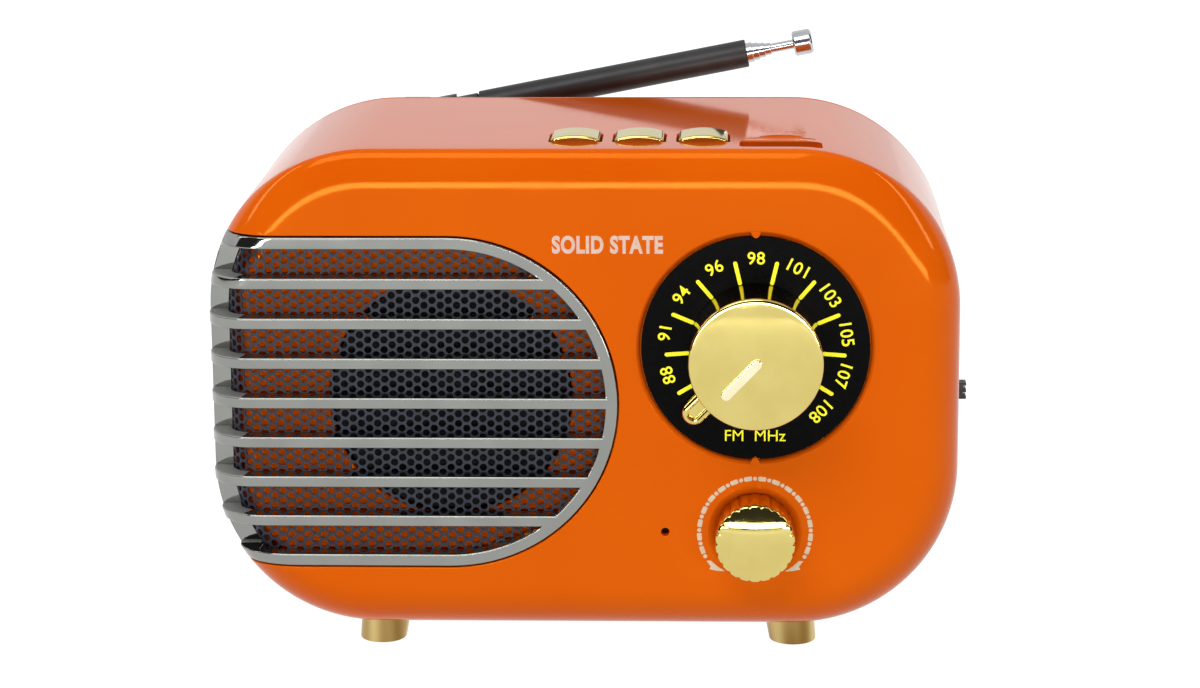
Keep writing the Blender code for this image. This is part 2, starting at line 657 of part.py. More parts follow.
def rear_cover():
    cover = rounded_body("rear_cover", 0.0, SEAM_Y + GAP, BODY_DEPTH, 0.0, REAR_FILLET, ORANGE)
    tray = rounded_body("cutter_tray", WALL, SEAM_Y - OVER, BODY_DEPTH - WALL, 0.0, 0.0)
    boolean(cover, tray)
    lip = rounded_body("cutter_lip", WALL + GAP, LIP_FRONT_Y, BODY_DEPTH - WALL / 2, 0.0, 0.0)
    boolean(lip, rounded_body("cutter_lip_inside", WALL + GAP + LIP_THICKNESS,
                              LIP_FRONT_Y - OVER, BODY_DEPTH - WALL * 0.75, 0.0, 0.0))
    boolean(cover, lip, "UNION")
    bm = bmesh.new()
    out = BODY_DEPTH + OVER
    for _, x, z in post_places():
        add_cylinder(bm, (x, SEAM_Y + 0.001, z), (x, out, z), SCREW_HOLE_RADIUS, sides=12)
    pivot = (ANTENNA_PIVOT_X, ANTENNA_PIVOT_Z)
    add_cylinder(bm, (pivot[0], BODY_DEPTH - 0.007, pivot[1]), (pivot[0], out, pivot[1]),
                 SCREW_SHANK_RADIUS + GAP, sides=16)
    add_cylinder(bm, (JACK_X, PORT_HOLE_FRONT_Y, BACK_PORT_Z), (JACK_X, out, BACK_PORT_Z),
                 JACK_HOLE_RADIUS, sides=24)
    half_x, half_z = CHARGE_HOLE_HALF
    add_box(bm, (CHARGE_X - half_x, PORT_HOLE_FRONT_Y, BACK_PORT_Z - half_z),
            (CHARGE_X + half_x, out, BACK_PORT_Z + half_z))
    for i in range(VENT_COUNT):
        x = GRILLE_X + (i - (VENT_COUNT - 1) / 2) * VENT_PITCH
        add_box(bm, (x - VENT_WIDTH / 2, VENT_FRONT_Y, GRILLE_Z - VENT_HEIGHT / 2),
                (x + VENT_WIDTH / 2, out, GRILLE_Z + VENT_HEIGHT / 2))
    boolean(cover, finish_mesh("cutter_cover_holes", bm, None))
    bm = bmesh.new()
    for _, x, z in post_places():
        add_cylinder(bm, (x, BODY_DEPTH - SCREW_SINK, z), (x, out, z), SCREW_HEAD_RADIUS + GAP,
                     sides=16)
    boolean(cover, finish_mesh("cutter_cover_counterbores", bm, None))


def pan_screw(name, x, z, head_back_y, head_radius, head_height, shank_radius, length):
    """A pan-head screw whose head faces the back."""
    profile = [(0.0, head_height), (head_radius * 0.75, head_height),
               (head_radius, head_height * 0.5), (head_radius, 0.0),
               (shank_radius, 0.0), (shank_radius, -length), (0.0, -length - shank_radius * 0.6)]
    turned_part(name, profile, (x, head_back_y, z), (-math.pi / 2, 0.0, 0.0), STEEL, steps=12)


def cover_screws():
    for place, x, z in post_places():
        pan_screw(f"cover_screw_{place}", x, z, BODY_DEPTH - SCREW_SINK + GAP, SCREW_HEAD_RADIUS,
                  SCREW_HEAD_HEIGHT, SCREW_SHANK_RADIUS, SCREW_LENGTH)


# Grille, mesh and speaker --------------------------------------------------------

def slot_outline(low, high):
    """A slot open past the left side, whose right end follows the round window."""
    left = -BODY_WIDTH / 2 - OVER - GRILLE_X
    radius = GRILLE_WINDOW_RADIUS
    start = math.asin(max(-1.0, low / radius))
    end = math.asin(min(1.0, high / radius))
    return [(left, high), (left, low), *arc(radius, start, end, 6)]


def speaker_grille():
    radius = GRILLE_RADIUS - GAP
    grille = rounded_body("speaker_grille", 0.0, 0.0, END_BAND_BACK_Y, FRONT_FILLET, 0.0, GUNMETAL)
    boolean(grille, grille_block("cutter_grille_edge", radius, -OVER, END_BAND_BACK_Y + OVER),
            "INTERSECT")
    boolean(grille, layer_under_front("cutter_grille_back", GRILLE_DEPTH, SEAM_Y))
    top = (SLOT_COUNT - 1) / 2 * BAR_PITCH + SLOT_HEIGHT / 2
    for i in range(SLOT_COUNT):
        high = top - i * BAR_PITCH
        slot = outline_part(f"cutter_slot_{i + 1}", slot_outline(high - SLOT_HEIGHT, high), -OVER,
                            END_BAND_FRONT_Y, None, (GRILLE_X, GRILLE_Z))
        boolean(grille, slot)


def mesh_screen():
    screen = layer_under_front("mesh_screen", MESH_INSET, END_BAND_BACK_Y - GAP, MESH_PAINT)
    boolean(screen, layer_under_front("cutter_mesh_back", MESH_INSET + MESH_THICKNESS, SEAM_Y))
    boolean(screen, grille_block("cutter_mesh_edge", GRILLE_RADIUS - 2 * GAP, -OVER, SEAM_Y),
            "INTERSECT")


def speaker_turned(name, profile, material, closed=True, steps=28):
    """A turned speaker piece: (radius, y) points from its front edge round its outer side."""
    points = [(radius, -y) for radius, y in profile]
    turned_part(name, points, (GRILLE_X, 0.0, GRILLE_Z), FRONT_FACING, material, closed, steps)


def speaker():
    half = SPEAKER_FLANGE / 2
    front = SPEAKER_FRONT_Y
    back = front + SPEAKER_FLANGE_THICKNESS
    bm = bmesh.new()
    add_box(bm, (GRILLE_X - half, front, GRILLE_Z - half), (GRILLE_X + half, back, GRILLE_Z + half))
    round_edges(bm, lambda edge: runs_along(edge, 1), 0.004, 4)
    frame = finish_mesh("speaker_frame", bm, STEEL)
    plate = SPEAKER_PLATE_Y
    basket = [(0.0265, front + 0.0004), (0.029, front + 0.0004), (0.0275, 0.013), (0.019, plate),
              (MAGNET_RADIUS - 0.003, plate), (MAGNET_RADIUS - 0.003, plate - 0.001),
              (0.018, plate - 0.001), (0.0265, 0.0125)]
    ring = [(radius, -y) for radius, y in basket]
    cutter = turned_part("cutter_basket", ring, (GRILLE_X, 0.0, GRILLE_Z), FRONT_FACING, None,
                         True, 28)
    bm = bmesh.new()
    add_cylinder(bm, (GRILLE_X, front - OVER, GRILLE_Z), (GRILLE_X, back + OVER, GRILLE_Z), 0.0268,
                 sides=28)
    for _, x, z in speaker_screw_places():
        add_cylinder(bm, (x, front - OVER, z), (x, back + OVER, z), 0.0014, sides=8)
    boolean(frame, finish_mesh("cutter_flange_holes", bm, None))
    boolean(frame, cutter, "UNION")
    cone = SPEAKER_CONE_RADIUS
    speaker_turned("speaker_cone", [(cone - 0.001, 0.0087), (cone, 0.0087), (cone, 0.0093),
                                    (cone - 0.002, 0.0103), (0.0078, 0.0163), (0.0073, 0.0157),
                                    (cone - 0.003, 0.0097)], PAPER)
    speaker_turned("speaker_dust_cap", [(0.0, 0.0118), (0.003, 0.0121), (0.0055, 0.0131),
                                        (0.0068, 0.0145), (0.0064, 0.0150), (0.0, 0.0150)], PAPER,
                   False, 24)
    speaker_turned("speaker_voice_coil", [(COIL_RADIUS - 0.0005, 0.0168), (COIL_RADIUS, 0.0168),
                                          (COIL_RADIUS, 0.027), (COIL_RADIUS - 0.0005, 0.027)],
                   COPPER, steps=24)
    inner = COIL_RADIUS + 0.0006
    for name, radius, bore, start, end, look in (
            ("speaker_top_plate", MAGNET_RADIUS - 0.001, inner, plate + GAP, plate + 0.0022, STEEL),
            ("speaker_magnet", MAGNET_RADIUS, 0.009, plate + 0.0025, plate + 0.0095, IRON)):
        speaker_turned(name, [(bore, start), (radius, start), (radius, end), (bore, end)], look,
                       steps=32)
    yoke = plate + 0.0098
    speaker_turned("speaker_yoke", [(0.0, plate + GAP), (0.0059, plate + GAP), (0.0059, yoke),
                                    (MAGNET_RADIUS - 0.001, yoke), (MAGNET_RADIUS - 0.001, yoke + 0.002),
                                    (0.0, yoke + 0.002)], STEEL, False, 32)
    for number, x, z in speaker_screw_places():
        pan_screw(f"speaker_screw_{number}", x, z, back + GAP, 0.0023, 0.0013, 0.001, 0.0028)


# Dial, knobs and what they turn --------------------------------------------------

def shaft(name, front, back, z):
    bm = bmesh.new()
    add_cylinder(bm, (DIAL_X, front, z), (DIAL_X, back, z), SHAFT_RADIUS - GAP, sides=20)
    finish_mesh(name, bm, STEEL, (DIAL_X, 0.0, z))


def control_box(name, size, box_front, bush_front, bush_radius, z, material):
    """A housing on the board, with a bush that guides its shaft through the front wall."""
    half = size / 2
    bm = bmesh.new()
    add_box(bm, (DIAL_X - half, box_front, z - half), (DIAL_X + half, BOARD_Y - GAP, z + half))
    housing = finish_mesh(name, bm, material)
    boolean(housing, cylinder_part("cutter_bush_" + name, (DIAL_X, bush_front, z),
                                   (DIAL_X, box_front + 0.002, z), bush_radius, None), "UNION")
    boolean(housing, cylinder_part("cutter_bore_" + name, (DIAL_X, bush_front - OVER, z),
                                   (DIAL_X, BOARD_Y - 0.002, z), SHAFT_RADIUS, None, 20))


def tuning_controls():
    plate = cylinder_part("dial_plate", (DIAL_X, DIAL_POCKET_DEPTH - GAP - DIAL_THICKNESS, DIAL_Z),
                          (DIAL_X, DIAL_POCKET_DEPTH - GAP, DIAL_Z), DIAL_RADIUS - GAP, DIAL_BLACK, 48)
    boolean(plate, cylinder_part("cutter_dial_hole", (DIAL_X, -OVER, DIAL_Z),
                                 (DIAL_X, OVER, DIAL_Z), DIAL_HOLE_RADIUS, None, 24))
    edge, crown, radius = -TUNING_KNOB_EDGE_Y, TUNING_KNOB_CROWN, TUNING_KNOB_RADIUS
    back = -TUNING_KNOB_BACK_Y
    profile = [(0.0, edge + crown), (radius * 0.35, edge + crown * 0.9),
               (radius * 0.65, edge + crown * 0.58), (radius * 0.92, edge + crown * 0.06),
               (radius * 0.98, edge - crown * 0.4), (radius, edge - crown * 1.2),
               (radius, back), (0.0, back)]
    knob = turned_part("tuning_knob", profile, (DIAL_X, 0.0, DIAL_Z), FRONT_FACING, GOLD, steps=36)
    bar = rounded_bar(POINTER_BAR_START, POINTER_BAR_END, POINTER_BAR_WIDTH)
    boolean(knob, outline_part("cutter_pointer_bar", bar, -(edge + crown + POINTER_BAR_PROUD),
                               -edge + 0.002, None, (DIAL_X, DIAL_Z)), "UNION")
    ear = rounded_bar(radius * 0.6, POINTER_EAR_REACH + POINTER_EAR_WIDTH / 2, POINTER_EAR_WIDTH)
    boolean(knob, outline_part("cutter_pointer_ear", ear, -back - GAP - POINTER_EAR_THICKNESS,
                               -back - GAP, None, (DIAL_X, DIAL_Z)), "UNION")
    boolean(knob, cylinder_part("cutter_knob_bore", (DIAL_X, OVER, DIAL_Z), (DIAL_X, TUNING_SHAFT_FRONT_Y - GAP, DIAL_Z),
                                SHAFT_RADIUS, None, 20))
    shaft("tuning_shaft", TUNING_SHAFT_FRONT_Y, TUNING_SHAFT_BACK_Y, DIAL_Z)
    control_box("tuning_capacitor", TUNING_BOX, TUNING_BOX_FRONT_Y, TUNING_BUSH_FRONT_Y,
                TUNING_BUSH_RADIUS, DIAL_Z, BLACK_PLASTIC)


def rounded_bar(start, end, width):
    """Outline of a bar with round ends that lies along the pointer's direction."""
    half = width / 2
    turn = Matrix.Rotation(POINTER_ANGLE, 2)
    points = [(end - half + x, z) for x, z in arc(half, -math.pi / 2, math.pi / 2, 8)]
    points += [(start + half + x, z) for x, z in arc(half, math.pi / 2, 3 * math.pi / 2, 8)]
    return [tuple(turn @ Vector(point)) for point in points]


def volume_controls():
    edge, crown, radius = -VOLUME_KNOB_EDGE_Y, VOLUME_KNOB_CROWN, VOLUME_KNOB_RADIUS
    hub_back = DISH_DEPTH - GAP
    profile = [(0.0, edge + crown), (radius * 0.4, edge + crown * 0.84),
               (radius * 0.75, edge + crown * 0.4), (radius * 0.93, edge - crown * 0.1),
               (radius, edge - crown), (radius, -VOLUME_KNOB_BACK_Y),
               (VOLUME_HUB_RADIUS, -VOLUME_KNOB_BACK_Y), (VOLUME_HUB_RADIUS, -hub_back),
               (0.0, -hub_back)]
    knob = turned_part("volume_knob", profile, (DIAL_X, 0.0, VOLUME_Z), FRONT_FACING, GOLD, steps=28)
    boolean(knob, cylinder_part("cutter_volume_bore", (DIAL_X, OVER, VOLUME_Z),
                                (DIAL_X, VOLUME_SHAFT_FRONT_Y - GAP, VOLUME_Z), SHAFT_RADIUS, None, 20))
    shaft("volume_shaft", VOLUME_SHAFT_FRONT_Y, VOLUME_SHAFT_BACK_Y, VOLUME_Z)
    control_box("volume_potentiometer", VOLUME_BOX, VOLUME_BOX_FRONT_Y, VOLUME_BUSH_FRONT_Y,
                VOLUME_BUSH_RADIUS, VOLUME_Z, STEEL)


# Boards, keys, sockets and the cell ----------------------------------------------

def boards():
    box_part("main_board", (BOARD_LEFT, BOARD_Y, BOARD_LOW),
             (BOARD_RIGHT, BOARD_Y + BOARD_THICKNESS, BOARD_HIGH), GREEN_BOARD)
    box_part("key_board", (KEY_XS[0] - KEY_BOARD_MARGIN, KEY_Y - KEY_BOARD_FRONT, KEY_BOARD_Z),
             (KEY_XS[-1] + KEY_BOARD_MARGIN, KEY_Y + KEY_BOARD_BACK,
              KEY_BOARD_Z + BOARD_THICKNESS), GREEN_BOARD)
    front = WALL + 2 * GAP
    cylinder_part("microphone", (MICROPHONE_X, front, VOLUME_Z),
                  (MICROPHONE_X, front + MICROPHONE_LENGTH, VOLUME_Z), MICROPHONE_RADIUS, STEEL, 24)


def key(number, x):
    """One domed key with a flange that holds it under the wall, and a stem below."""
    top = BODY_TOP_Z + KEY_PROUD
    half_x, half_y = KEY_WIDTH / 2, KEY_DEPTH / 2
    steps = 8
    outline = [(-half_x, INNER_TOP_Z - 0.001), (half_x, INNER_TOP_Z - 0.001)]
    for i in range(steps + 1):
        across = half_x * (1 - 2 * i / steps)
        outline.append((across, top - KEY_EDGE_DROP * (across / half_x) ** 2))
    cap = outline_part(f"key_{number}", outline, KEY_Y - half_y, KEY_Y + half_y, GOLD, (x, 0.0))
    cap.data.transform(Matrix.Translation((-x, -KEY_Y, -BODY_TOP_Z)))
    cap.location = (x, KEY_Y, BODY_TOP_Z)
    flange_top = INNER_TOP_Z - GAP - 0.0001
    flange = box_part(
        f"cutter_key_flange_{number}",
        (x - half_x - KEY_FLANGE, KEY_Y - half_y - KEY_FLANGE, flange_top - KEY_FLANGE_THICKNESS),
        (x + half_x + KEY_FLANGE, KEY_Y + half_y + KEY_FLANGE, flange_top), None)
    boolean(cap, flange, "UNION")
    stem_low = KEY_BOARD_Z + BOARD_THICKNESS + KEY_STEM_LOW
    stem = cylinder_part(f"cutter_key_stem_{number}", (x, KEY_Y, stem_low),
                         (x, KEY_Y, flange_top - 0.0005), KEY_STEM_RADIUS, None, 12)
    boolean(cap, stem, "UNION")


def key_switch(number, x):
    """A small push switch whose well takes the end of the key's stem."""
    half = KEY_SWITCH_SIZE / 2
    low = KEY_BOARD_Z + BOARD_THICKNESS + GAP
    high = low + KEY_SWITCH_HEIGHT
    body = box_part(f"key_switch_{number}", (x - half, KEY_Y - half, low),
                    (x + half, KEY_Y + half, high), BLACK_PLASTIC)
    well = cylinder_part(f"cutter_switch_well_{number}", (x, KEY_Y, high - KEY_WELL_DEPTH),
                         (x, KEY_Y, high + OVER), KEY_WELL_RADIUS, None, 16)
    boolean(body, well)


def sockets():
    half, deep = CARD_SLIT_WIDTH / 2 + GAP, CARD_SOCKET_HALF_DEPTH
    top = INNER_TOP_Z - 0.001
    card = box_part("card_socket", (PORT_X - half, CARD_SLIT_Y - deep, top - CARD_SOCKET_HEIGHT),
                    (PORT_X + half, CARD_SLIT_Y + deep, top), STEEL)
    slot, thin = CARD_HALF_WIDTH, CARD_HALF_THICKNESS
    boolean(card, box_part("cutter_card_slot",
                           (PORT_X - slot, CARD_SLIT_Y - thin, top - CARD_REACH),
                           (PORT_X + slot, CARD_SLIT_Y + thin, top + OVER), None))
    half_x, half_y = USB_SHELL_WIDTH / 2, USB_SHELL_DEPTH / 2
    shell_top = BODY_TOP_Z - USB_RECESS_DROP - GAP
    shell = box_part("usb_socket", (PORT_X - half_x, USB_Y - half_y, USB_SHELL_LOW_Z),
                     (PORT_X + half_x, USB_Y + half_y, shell_top), CHROME)
    wall = USB_SHELL_WALL
    boolean(shell, box_part(
        "cutter_usb_inside",
        (PORT_X - half_x + wall, USB_Y - half_y + wall, USB_SHELL_LOW_Z - OVER),
        (PORT_X + half_x - wall, USB_Y + half_y - wall, shell_top + OVER), None))
    bm = bmesh.new()
    low = USB_SHELL_LOW_Z + 0.0005
    wide, deep, tall = USB_BLOCK
    add_box(bm, (PORT_X - wide, USB_Y - deep, low), (PORT_X + wide, USB_Y + deep, low + tall))
    tongue = finish_mesh("usb_contact_block", bm, BLACK_PLASTIC)
    wide = USB_TONGUE_HALF_WIDTH
    boolean(tongue, box_part("cutter_usb_tongue",
                             (PORT_X - wide, USB_Y + USB_TONGUE_FRONT, low + tall / 2),
                             (PORT_X + wide, USB_Y + USB_TONGUE_BACK, shell_top - 0.0008), None),
            "UNION")


def back_ports():
    out = BODY_DEPTH - PORT_SET_BACK
    wide, tall = CHARGE_HALF
    port = box_part("charge_port", (CHARGE_X - wide, CHARGE_FRONT_Y, BACK_PORT_Z - tall),
                    (CHARGE_X + wide, out, BACK_PORT_Z + tall), STEEL)
    wide, tall = wide - CHARGE_WALL, tall - CHARGE_WALL
    boolean(port, box_part("cutter_charge",
                           (CHARGE_X - wide, CHARGE_SOCKET_FRONT_Y, BACK_PORT_Z - tall),
                           (CHARGE_X + wide, out + OVER, BACK_PORT_Z + tall), None))
    jack = cylinder_part("audio_jack", (JACK_X, JACK_FRONT_Y, BACK_PORT_Z),
                         (JACK_X, out, BACK_PORT_Z), JACK_RADIUS, BLACK_PLASTIC, 24)
    boolean(jack, cylinder_part("cutter_jack", (JACK_X, JACK_BORE_FRONT_Y, BACK_PORT_Z),
                                (JACK_X, out + OVER, BACK_PORT_Z), JACK_BORE_RADIUS, None, 20))


def cell():
    half = CELL_LENGTH / 2
    clear = CELL_RADIUS + GAP
    inner_floor = FOOT_HEIGHT + WALL + GAP
    long, deep = half + CELL_HOLDER_MARGIN, CELL_HOLDER_HALF_DEPTH
    holder = box_part("cell_holder", (-long, CELL_Y - deep, inner_floor),
                      (long, CELL_Y + deep, CELL_Z), BLACK_PLASTIC)
    boolean(holder, cylinder_part("cutter_cell", (-half - GAP, CELL_Y, CELL_Z),
                                  (half + GAP, CELL_Y, CELL_Z), clear, None))
    cylinder_part("battery_cell", (-half, CELL_Y, CELL_Z), (half, CELL_Y, CELL_Z), CELL_RADIUS,
                  CELL_WRAP)


def slide_switch():
    side = BODY_WIDTH / 2
    inner = side - WALL - 2 * GAP
    half_y, half_z = SWITCH_KNOB_DEPTH / 2, SWITCH_KNOB_HEIGHT / 2
    deep = SWITCH_BODY_HALF_DEPTH
    body = box_part("switch_body",
                    (side - SWITCH_BODY_REACH, SWITCH_Y - deep, SWITCH_Z - SWITCH_BODY_BELOW),
                    (inner, SWITCH_Y + deep, SWITCH_Z + SWITCH_BODY_ABOVE), STEEL)
    clear = SWITCH_CLEARANCE
    boolean(body, box_part(
        "cutter_switch",
        (side - SWITCH_WELL_REACH, SWITCH_Y - half_y - clear, SWITCH_Z - half_z - clear),
        (side, SWITCH_Y + half_y + clear, SWITCH_Z + half_z + SWITCH_TRAVEL + clear), None))
    knob = box_part("switch_knob",
                    (side - SWITCH_KNOB_REACH, SWITCH_Y - half_y, SWITCH_Z - half_z),
                    (side + SWITCH_PROUD, SWITCH_Y + half_y, SWITCH_Z + half_z), BLACK_PLASTIC)
    bm = bmesh.new()
    groove = SWITCH_KNOB_HEIGHT / 10
    for z in (SWITCH_Z - SWITCH_KNOB_HEIGHT / 6, SWITCH_Z + SWITCH_KNOB_HEIGHT / 6):
        add_box(bm, (side + SWITCH_PROUD - SWITCH_GROOVE_DEPTH, SWITCH_Y - half_y - OVER, z - groove),
                (side + SWITCH_PROUD + OVER, SWITCH_Y + half_y + OVER, z + groove))
    boolean(knob, finish_mesh("cutter_switch_grooves", bm, None))


# Feet ----------------------------------------------------------------------------

def feet():
    """Tapered feet that lean outwards, each with a spigot through the cabinet's floor."""
    for place, sign, y in foot_places():
        bm = bmesh.new()
        top = FOOT_HEIGHT - GAP
        add_cylinder(bm, (sign * FOOT_X, y, 0.0), (sign * FOOT_X, y, top), FOOT_BOTTOM_RADIUS,
                     FOOT_TOP_RADIUS)
        for vertex in bm.verts:
            if vertex.co.z < top / 2:
                vertex.co.x += sign * FOOT_SPLAY
        foot = finish_mesh(f"foot_{place}", bm, SATIN_GOLD)
        spigot = cylinder_part(f"cutter_spigot_{place}", (sign * FOOT_X, y, top - 0.001),
                               (sign * FOOT_X, y, FOOT_HEIGHT + WALL + 0.0015),
                               FOOT_SPIGOT_RADIUS, None, 14)
        boolean(foot, spigot, "UNION")


# Antenna -------------------------------------------------------------------------

ANTENNA_TURN = (0.0, math.pi / 2 - ANTENNA_LIFT, 0.0)      # local +Z runs along the antenna
ANTENNA_PIVOT = (ANTENNA_PIVOT_X, ANTENNA_Y, ANTENNA_PIVOT_Z)


def along_antenna(name, profile, material, closed=True, steps=16):
    """A turned antenna piece: (radius, distance) points from its far end, outer side first."""
    turned_part(name, profile, ANTENNA_PIVOT, ANTENNA_TURN, material, closed, steps)


def antenna_bracket():
    back = BODY_DEPTH + GAP
    low, high = BRACKET_LOW_Z, BRACKET_TOP_Z
    bm = bmesh.new()
    half = BRACKET_WIDTH / 2
    add_box(bm, (ANTENNA_PIVOT_X - half, back, low), (ANTENNA_PIVOT_X + half,
                                                      back + BRACKET_THICKNESS, high))
    round_edges(bm, lambda edge: runs_along(edge, 1), 0.003, 4)
    bracket = finish_mesh("antenna_bracket", bm, BLACK_PLASTIC)
    boolean(bracket, cylinder_part("cutter_bracket_hole", (ANTENNA_PIVOT_X, back - OVER, ANTENNA_PIVOT_Z),
                                   (ANTENNA_PIVOT_X, back + 2 * OVER, ANTENNA_PIVOT_Z),
                                   SCREW_SHANK_RADIUS + GAP, None, 16))
    head_back = ANTENNA_Y + ANTENNA_TONGUE_THICKNESS / 2 + GAP
    pan_screw("antenna_screw", ANTENNA_PIVOT_X, ANTENNA_PIVOT_Z, head_back, 0.0028, 0.0013,
              SCREW_SHANK_RADIUS, 0.010)


def antenna_hinge():
    """The flat tongue on the pivot and the neck that carries the sleeve."""
    half = ANTENNA_TONGUE_WIDTH / 2
    points = [(-x, z) for x, z in arc(half, -math.pi / 2, math.pi / 2, 12)]
    points += [(0.0095, half), (0.0095, -half)]
    turn = Matrix.Rotation(ANTENNA_LIFT, 2)
    points = [tuple(turn @ Vector(point)) for point in points]
    front = ANTENNA_Y - ANTENNA_TONGUE_THICKNESS / 2
    tongue = outline_part("antenna_hinge", points, front, front + ANTENNA_TONGUE_THICKNESS,
                          SLEEVE_BLACK, (ANTENNA_PIVOT_X, ANTENNA_PIVOT_Z))
    tongue.data.transform(Matrix.Translation(-Vector(ANTENNA_PIVOT)))
    tongue.location = ANTENNA_PIVOT
    neck_end = ANTENNA_SLEEVE_START - GAP
    profile = [(0.0, neck_end + 0.004), (0.0021, neck_end + 0.004), (0.0021, neck_end),
               (ANTENNA_NECK_RADIUS, neck_end), (ANTENNA_NECK_RADIUS, 0.0082),
               (0.0016, 0.0064), (0.0, 0.0064)]
    neck = turned_part("cutter_neck", profile, ANTENNA_PIVOT, ANTENNA_TURN, None, steps=20)
    boolean(tongue, neck, "UNION")
    boolean(tongue, cylinder_part(
        "cutter_tongue_hole", (ANTENNA_PIVOT_X, ANTENNA_Y - OVER, ANTENNA_PIVOT_Z),
        (ANTENNA_PIVOT_X, ANTENNA_Y + OVER, ANTENNA_PIVOT_Z), SCREW_SHANK_RADIUS + GAP, None, 16))


def antenna_tubes():
    start, end = ANTENNA_SLEEVE_START, ANTENNA_SLEEVE_END
    outer, bore = ANTENNA_SLEEVE_RADIUS, ANTENNA_SLEEVE_BORE
    along_antenna("antenna_sleeve", [(bore, end), (outer, end), (outer, start), (bore, start)],
                  SLEEVE_BLACK, steps=24)
    for i in range(ANTENNA_SECTIONS):
        outer = ANTENNA_SECTION_RADIUS - i * ANTENNA_SECTION_STEP
        bore = outer - ANTENNA_SECTION_WALL
        far = end + (i + 1) * ANTENNA_SECTION_SHOWS
        near = start + 0.0045 + 0.001 * i
        along_antenna(f"antenna_section_{i + 1}",
                      [(bore, far), (outer, far), (outer, near), (bore, near)], CHROME)
    rod, tip_start, tip_end = ANTENNA_ROD_RADIUS, ANTENNA_TIP_START, ANTENNA_TIP_END
    along_antenna("antenna_rod", [(0.0, tip_start + 0.002), (rod, tip_start + 0.002),
                                  (rod, start + 0.0085), (0.0, start + 0.0085)], CHROME, False)
    tip, chamfer = ANTENNA_TIP_RADIUS, 0.0004
    along_antenna("antenna_tip", [(0.0, tip_end), (tip - chamfer, tip_end), (tip, tip_end - chamfer),
                                  (tip, tip_start + chamfer), (tip - chamfer, tip_start),
                                  (rod + GAP, tip_start), (rod + GAP, tip_start + 0.0023),
                                  (0.0, tip_start + 0.0023)], CHROME, False, 24)


front_cabinet()
rear_cover()
cover_screws()
speaker_grille()
mesh_screen()
speaker()
tuning_controls()
volume_controls()
boards()
for key_number, key_x in enumerate(KEY_XS, start=1):
    key(key_number, key_x)
    key_switch(key_number, key_x)
sockets()
back_ports()
cell()
slide_switch()
feet()
antenna_bracket()
antenna_hinge()
antenna_tubes()
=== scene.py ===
import math

import bmesh
import bpy
from mathutils import Matrix, Vector


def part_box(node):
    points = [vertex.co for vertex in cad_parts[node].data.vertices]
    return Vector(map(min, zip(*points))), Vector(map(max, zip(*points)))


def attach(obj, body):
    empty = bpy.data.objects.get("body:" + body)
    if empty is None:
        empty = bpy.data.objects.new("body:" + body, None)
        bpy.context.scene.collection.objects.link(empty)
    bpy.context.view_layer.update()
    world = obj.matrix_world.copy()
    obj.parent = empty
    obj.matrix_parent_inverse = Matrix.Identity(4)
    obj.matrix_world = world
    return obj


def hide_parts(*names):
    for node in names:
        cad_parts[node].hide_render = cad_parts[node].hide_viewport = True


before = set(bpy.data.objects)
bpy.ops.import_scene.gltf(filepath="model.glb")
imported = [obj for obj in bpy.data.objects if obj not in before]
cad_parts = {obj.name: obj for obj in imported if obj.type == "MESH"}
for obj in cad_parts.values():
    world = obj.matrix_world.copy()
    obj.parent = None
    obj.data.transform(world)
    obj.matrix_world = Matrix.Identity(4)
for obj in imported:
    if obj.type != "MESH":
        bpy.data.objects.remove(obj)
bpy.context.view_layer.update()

# Sizes, in metres. Everything is drawn in the cabinet's own frame: x = 0 is its middle,
# y = 0 its flat front with +y towards the back, and z = 0 the surface it stands on.
CABINET_LOW, CABINET_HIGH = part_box("front_cabinet")
TO_WORLD = Matrix.Translation(((CABINET_LOW.x + CABINET_HIGH.x) / 2, CABINET_LOW.y, 0.0))
GAP = 0.0003                     # air between pieces that do not touch
OVER = 0.004                     # how far a cutter reaches past what it cuts
MOUTH_EDGE = 0.0003              # rounding round the openings
FINE_EDGE = 0.0002

BODY_WIDTH = CABINET_HIGH.x - CABINET_LOW.x
BODY_HEIGHT = CABINET_HIGH.z - CABINET_LOW.z
BODY_DEPTH = 0.0762
CORNER_RADIUS = 0.03525
FRONT_FILLET = 0.0094
TOP_FILLET_DEPTH = 0.003
TOP_FILLET_START = 0.5
REAR_FILLET = 0.005
WALL = 0.0026
SEAM_Y = 0.0705
SEAM_EDGE = 0.0004
LIP_START_Y = 0.067
LIP_THICKNESS = 0.0014
FOOT_HEIGHT = CABINET_LOW.z
BODY_MIDDLE_Z = FOOT_HEIGHT + BODY_HEIGHT / 2
BODY_TOP_Z = FOOT_HEIGHT + BODY_HEIGHT
INNER_TOP_Z = BODY_TOP_Z - WALL

GRILLE_X = -0.0284
GRILLE_Z = FOOT_HEIGHT + 0.05054
GRILLE_RADIUS = 0.03617
GRILLE_WINDOW_RADIUS = 0.0333
GRILLE_DEPTH = 0.004
GRILLE_EDGE = 0.00032
LEDGE_END_X = -0.0735            # the slots' ledges are satin from here outwards
LEDGE_NORMAL = 0.3
BAR_PITCH = 0.00862
SLOT_HEIGHT = 0.00621
SLOT_COUNT = 8
BAND_FRONT_Y = 0.0098
BAND_BACK_Y = 0.0135
MESH_DEPTH = GRILLE_DEPTH + GAP
MESH_THICKNESS = 0.0004
BAFFLE_INSET = 0.0065
BAFFLE_BACK = 0.0082
POCKET_WALL = 0.0024
POCKET_WALL_BACK_Y = 0.018
SPEAKER_OPENING_RADIUS = 0.026

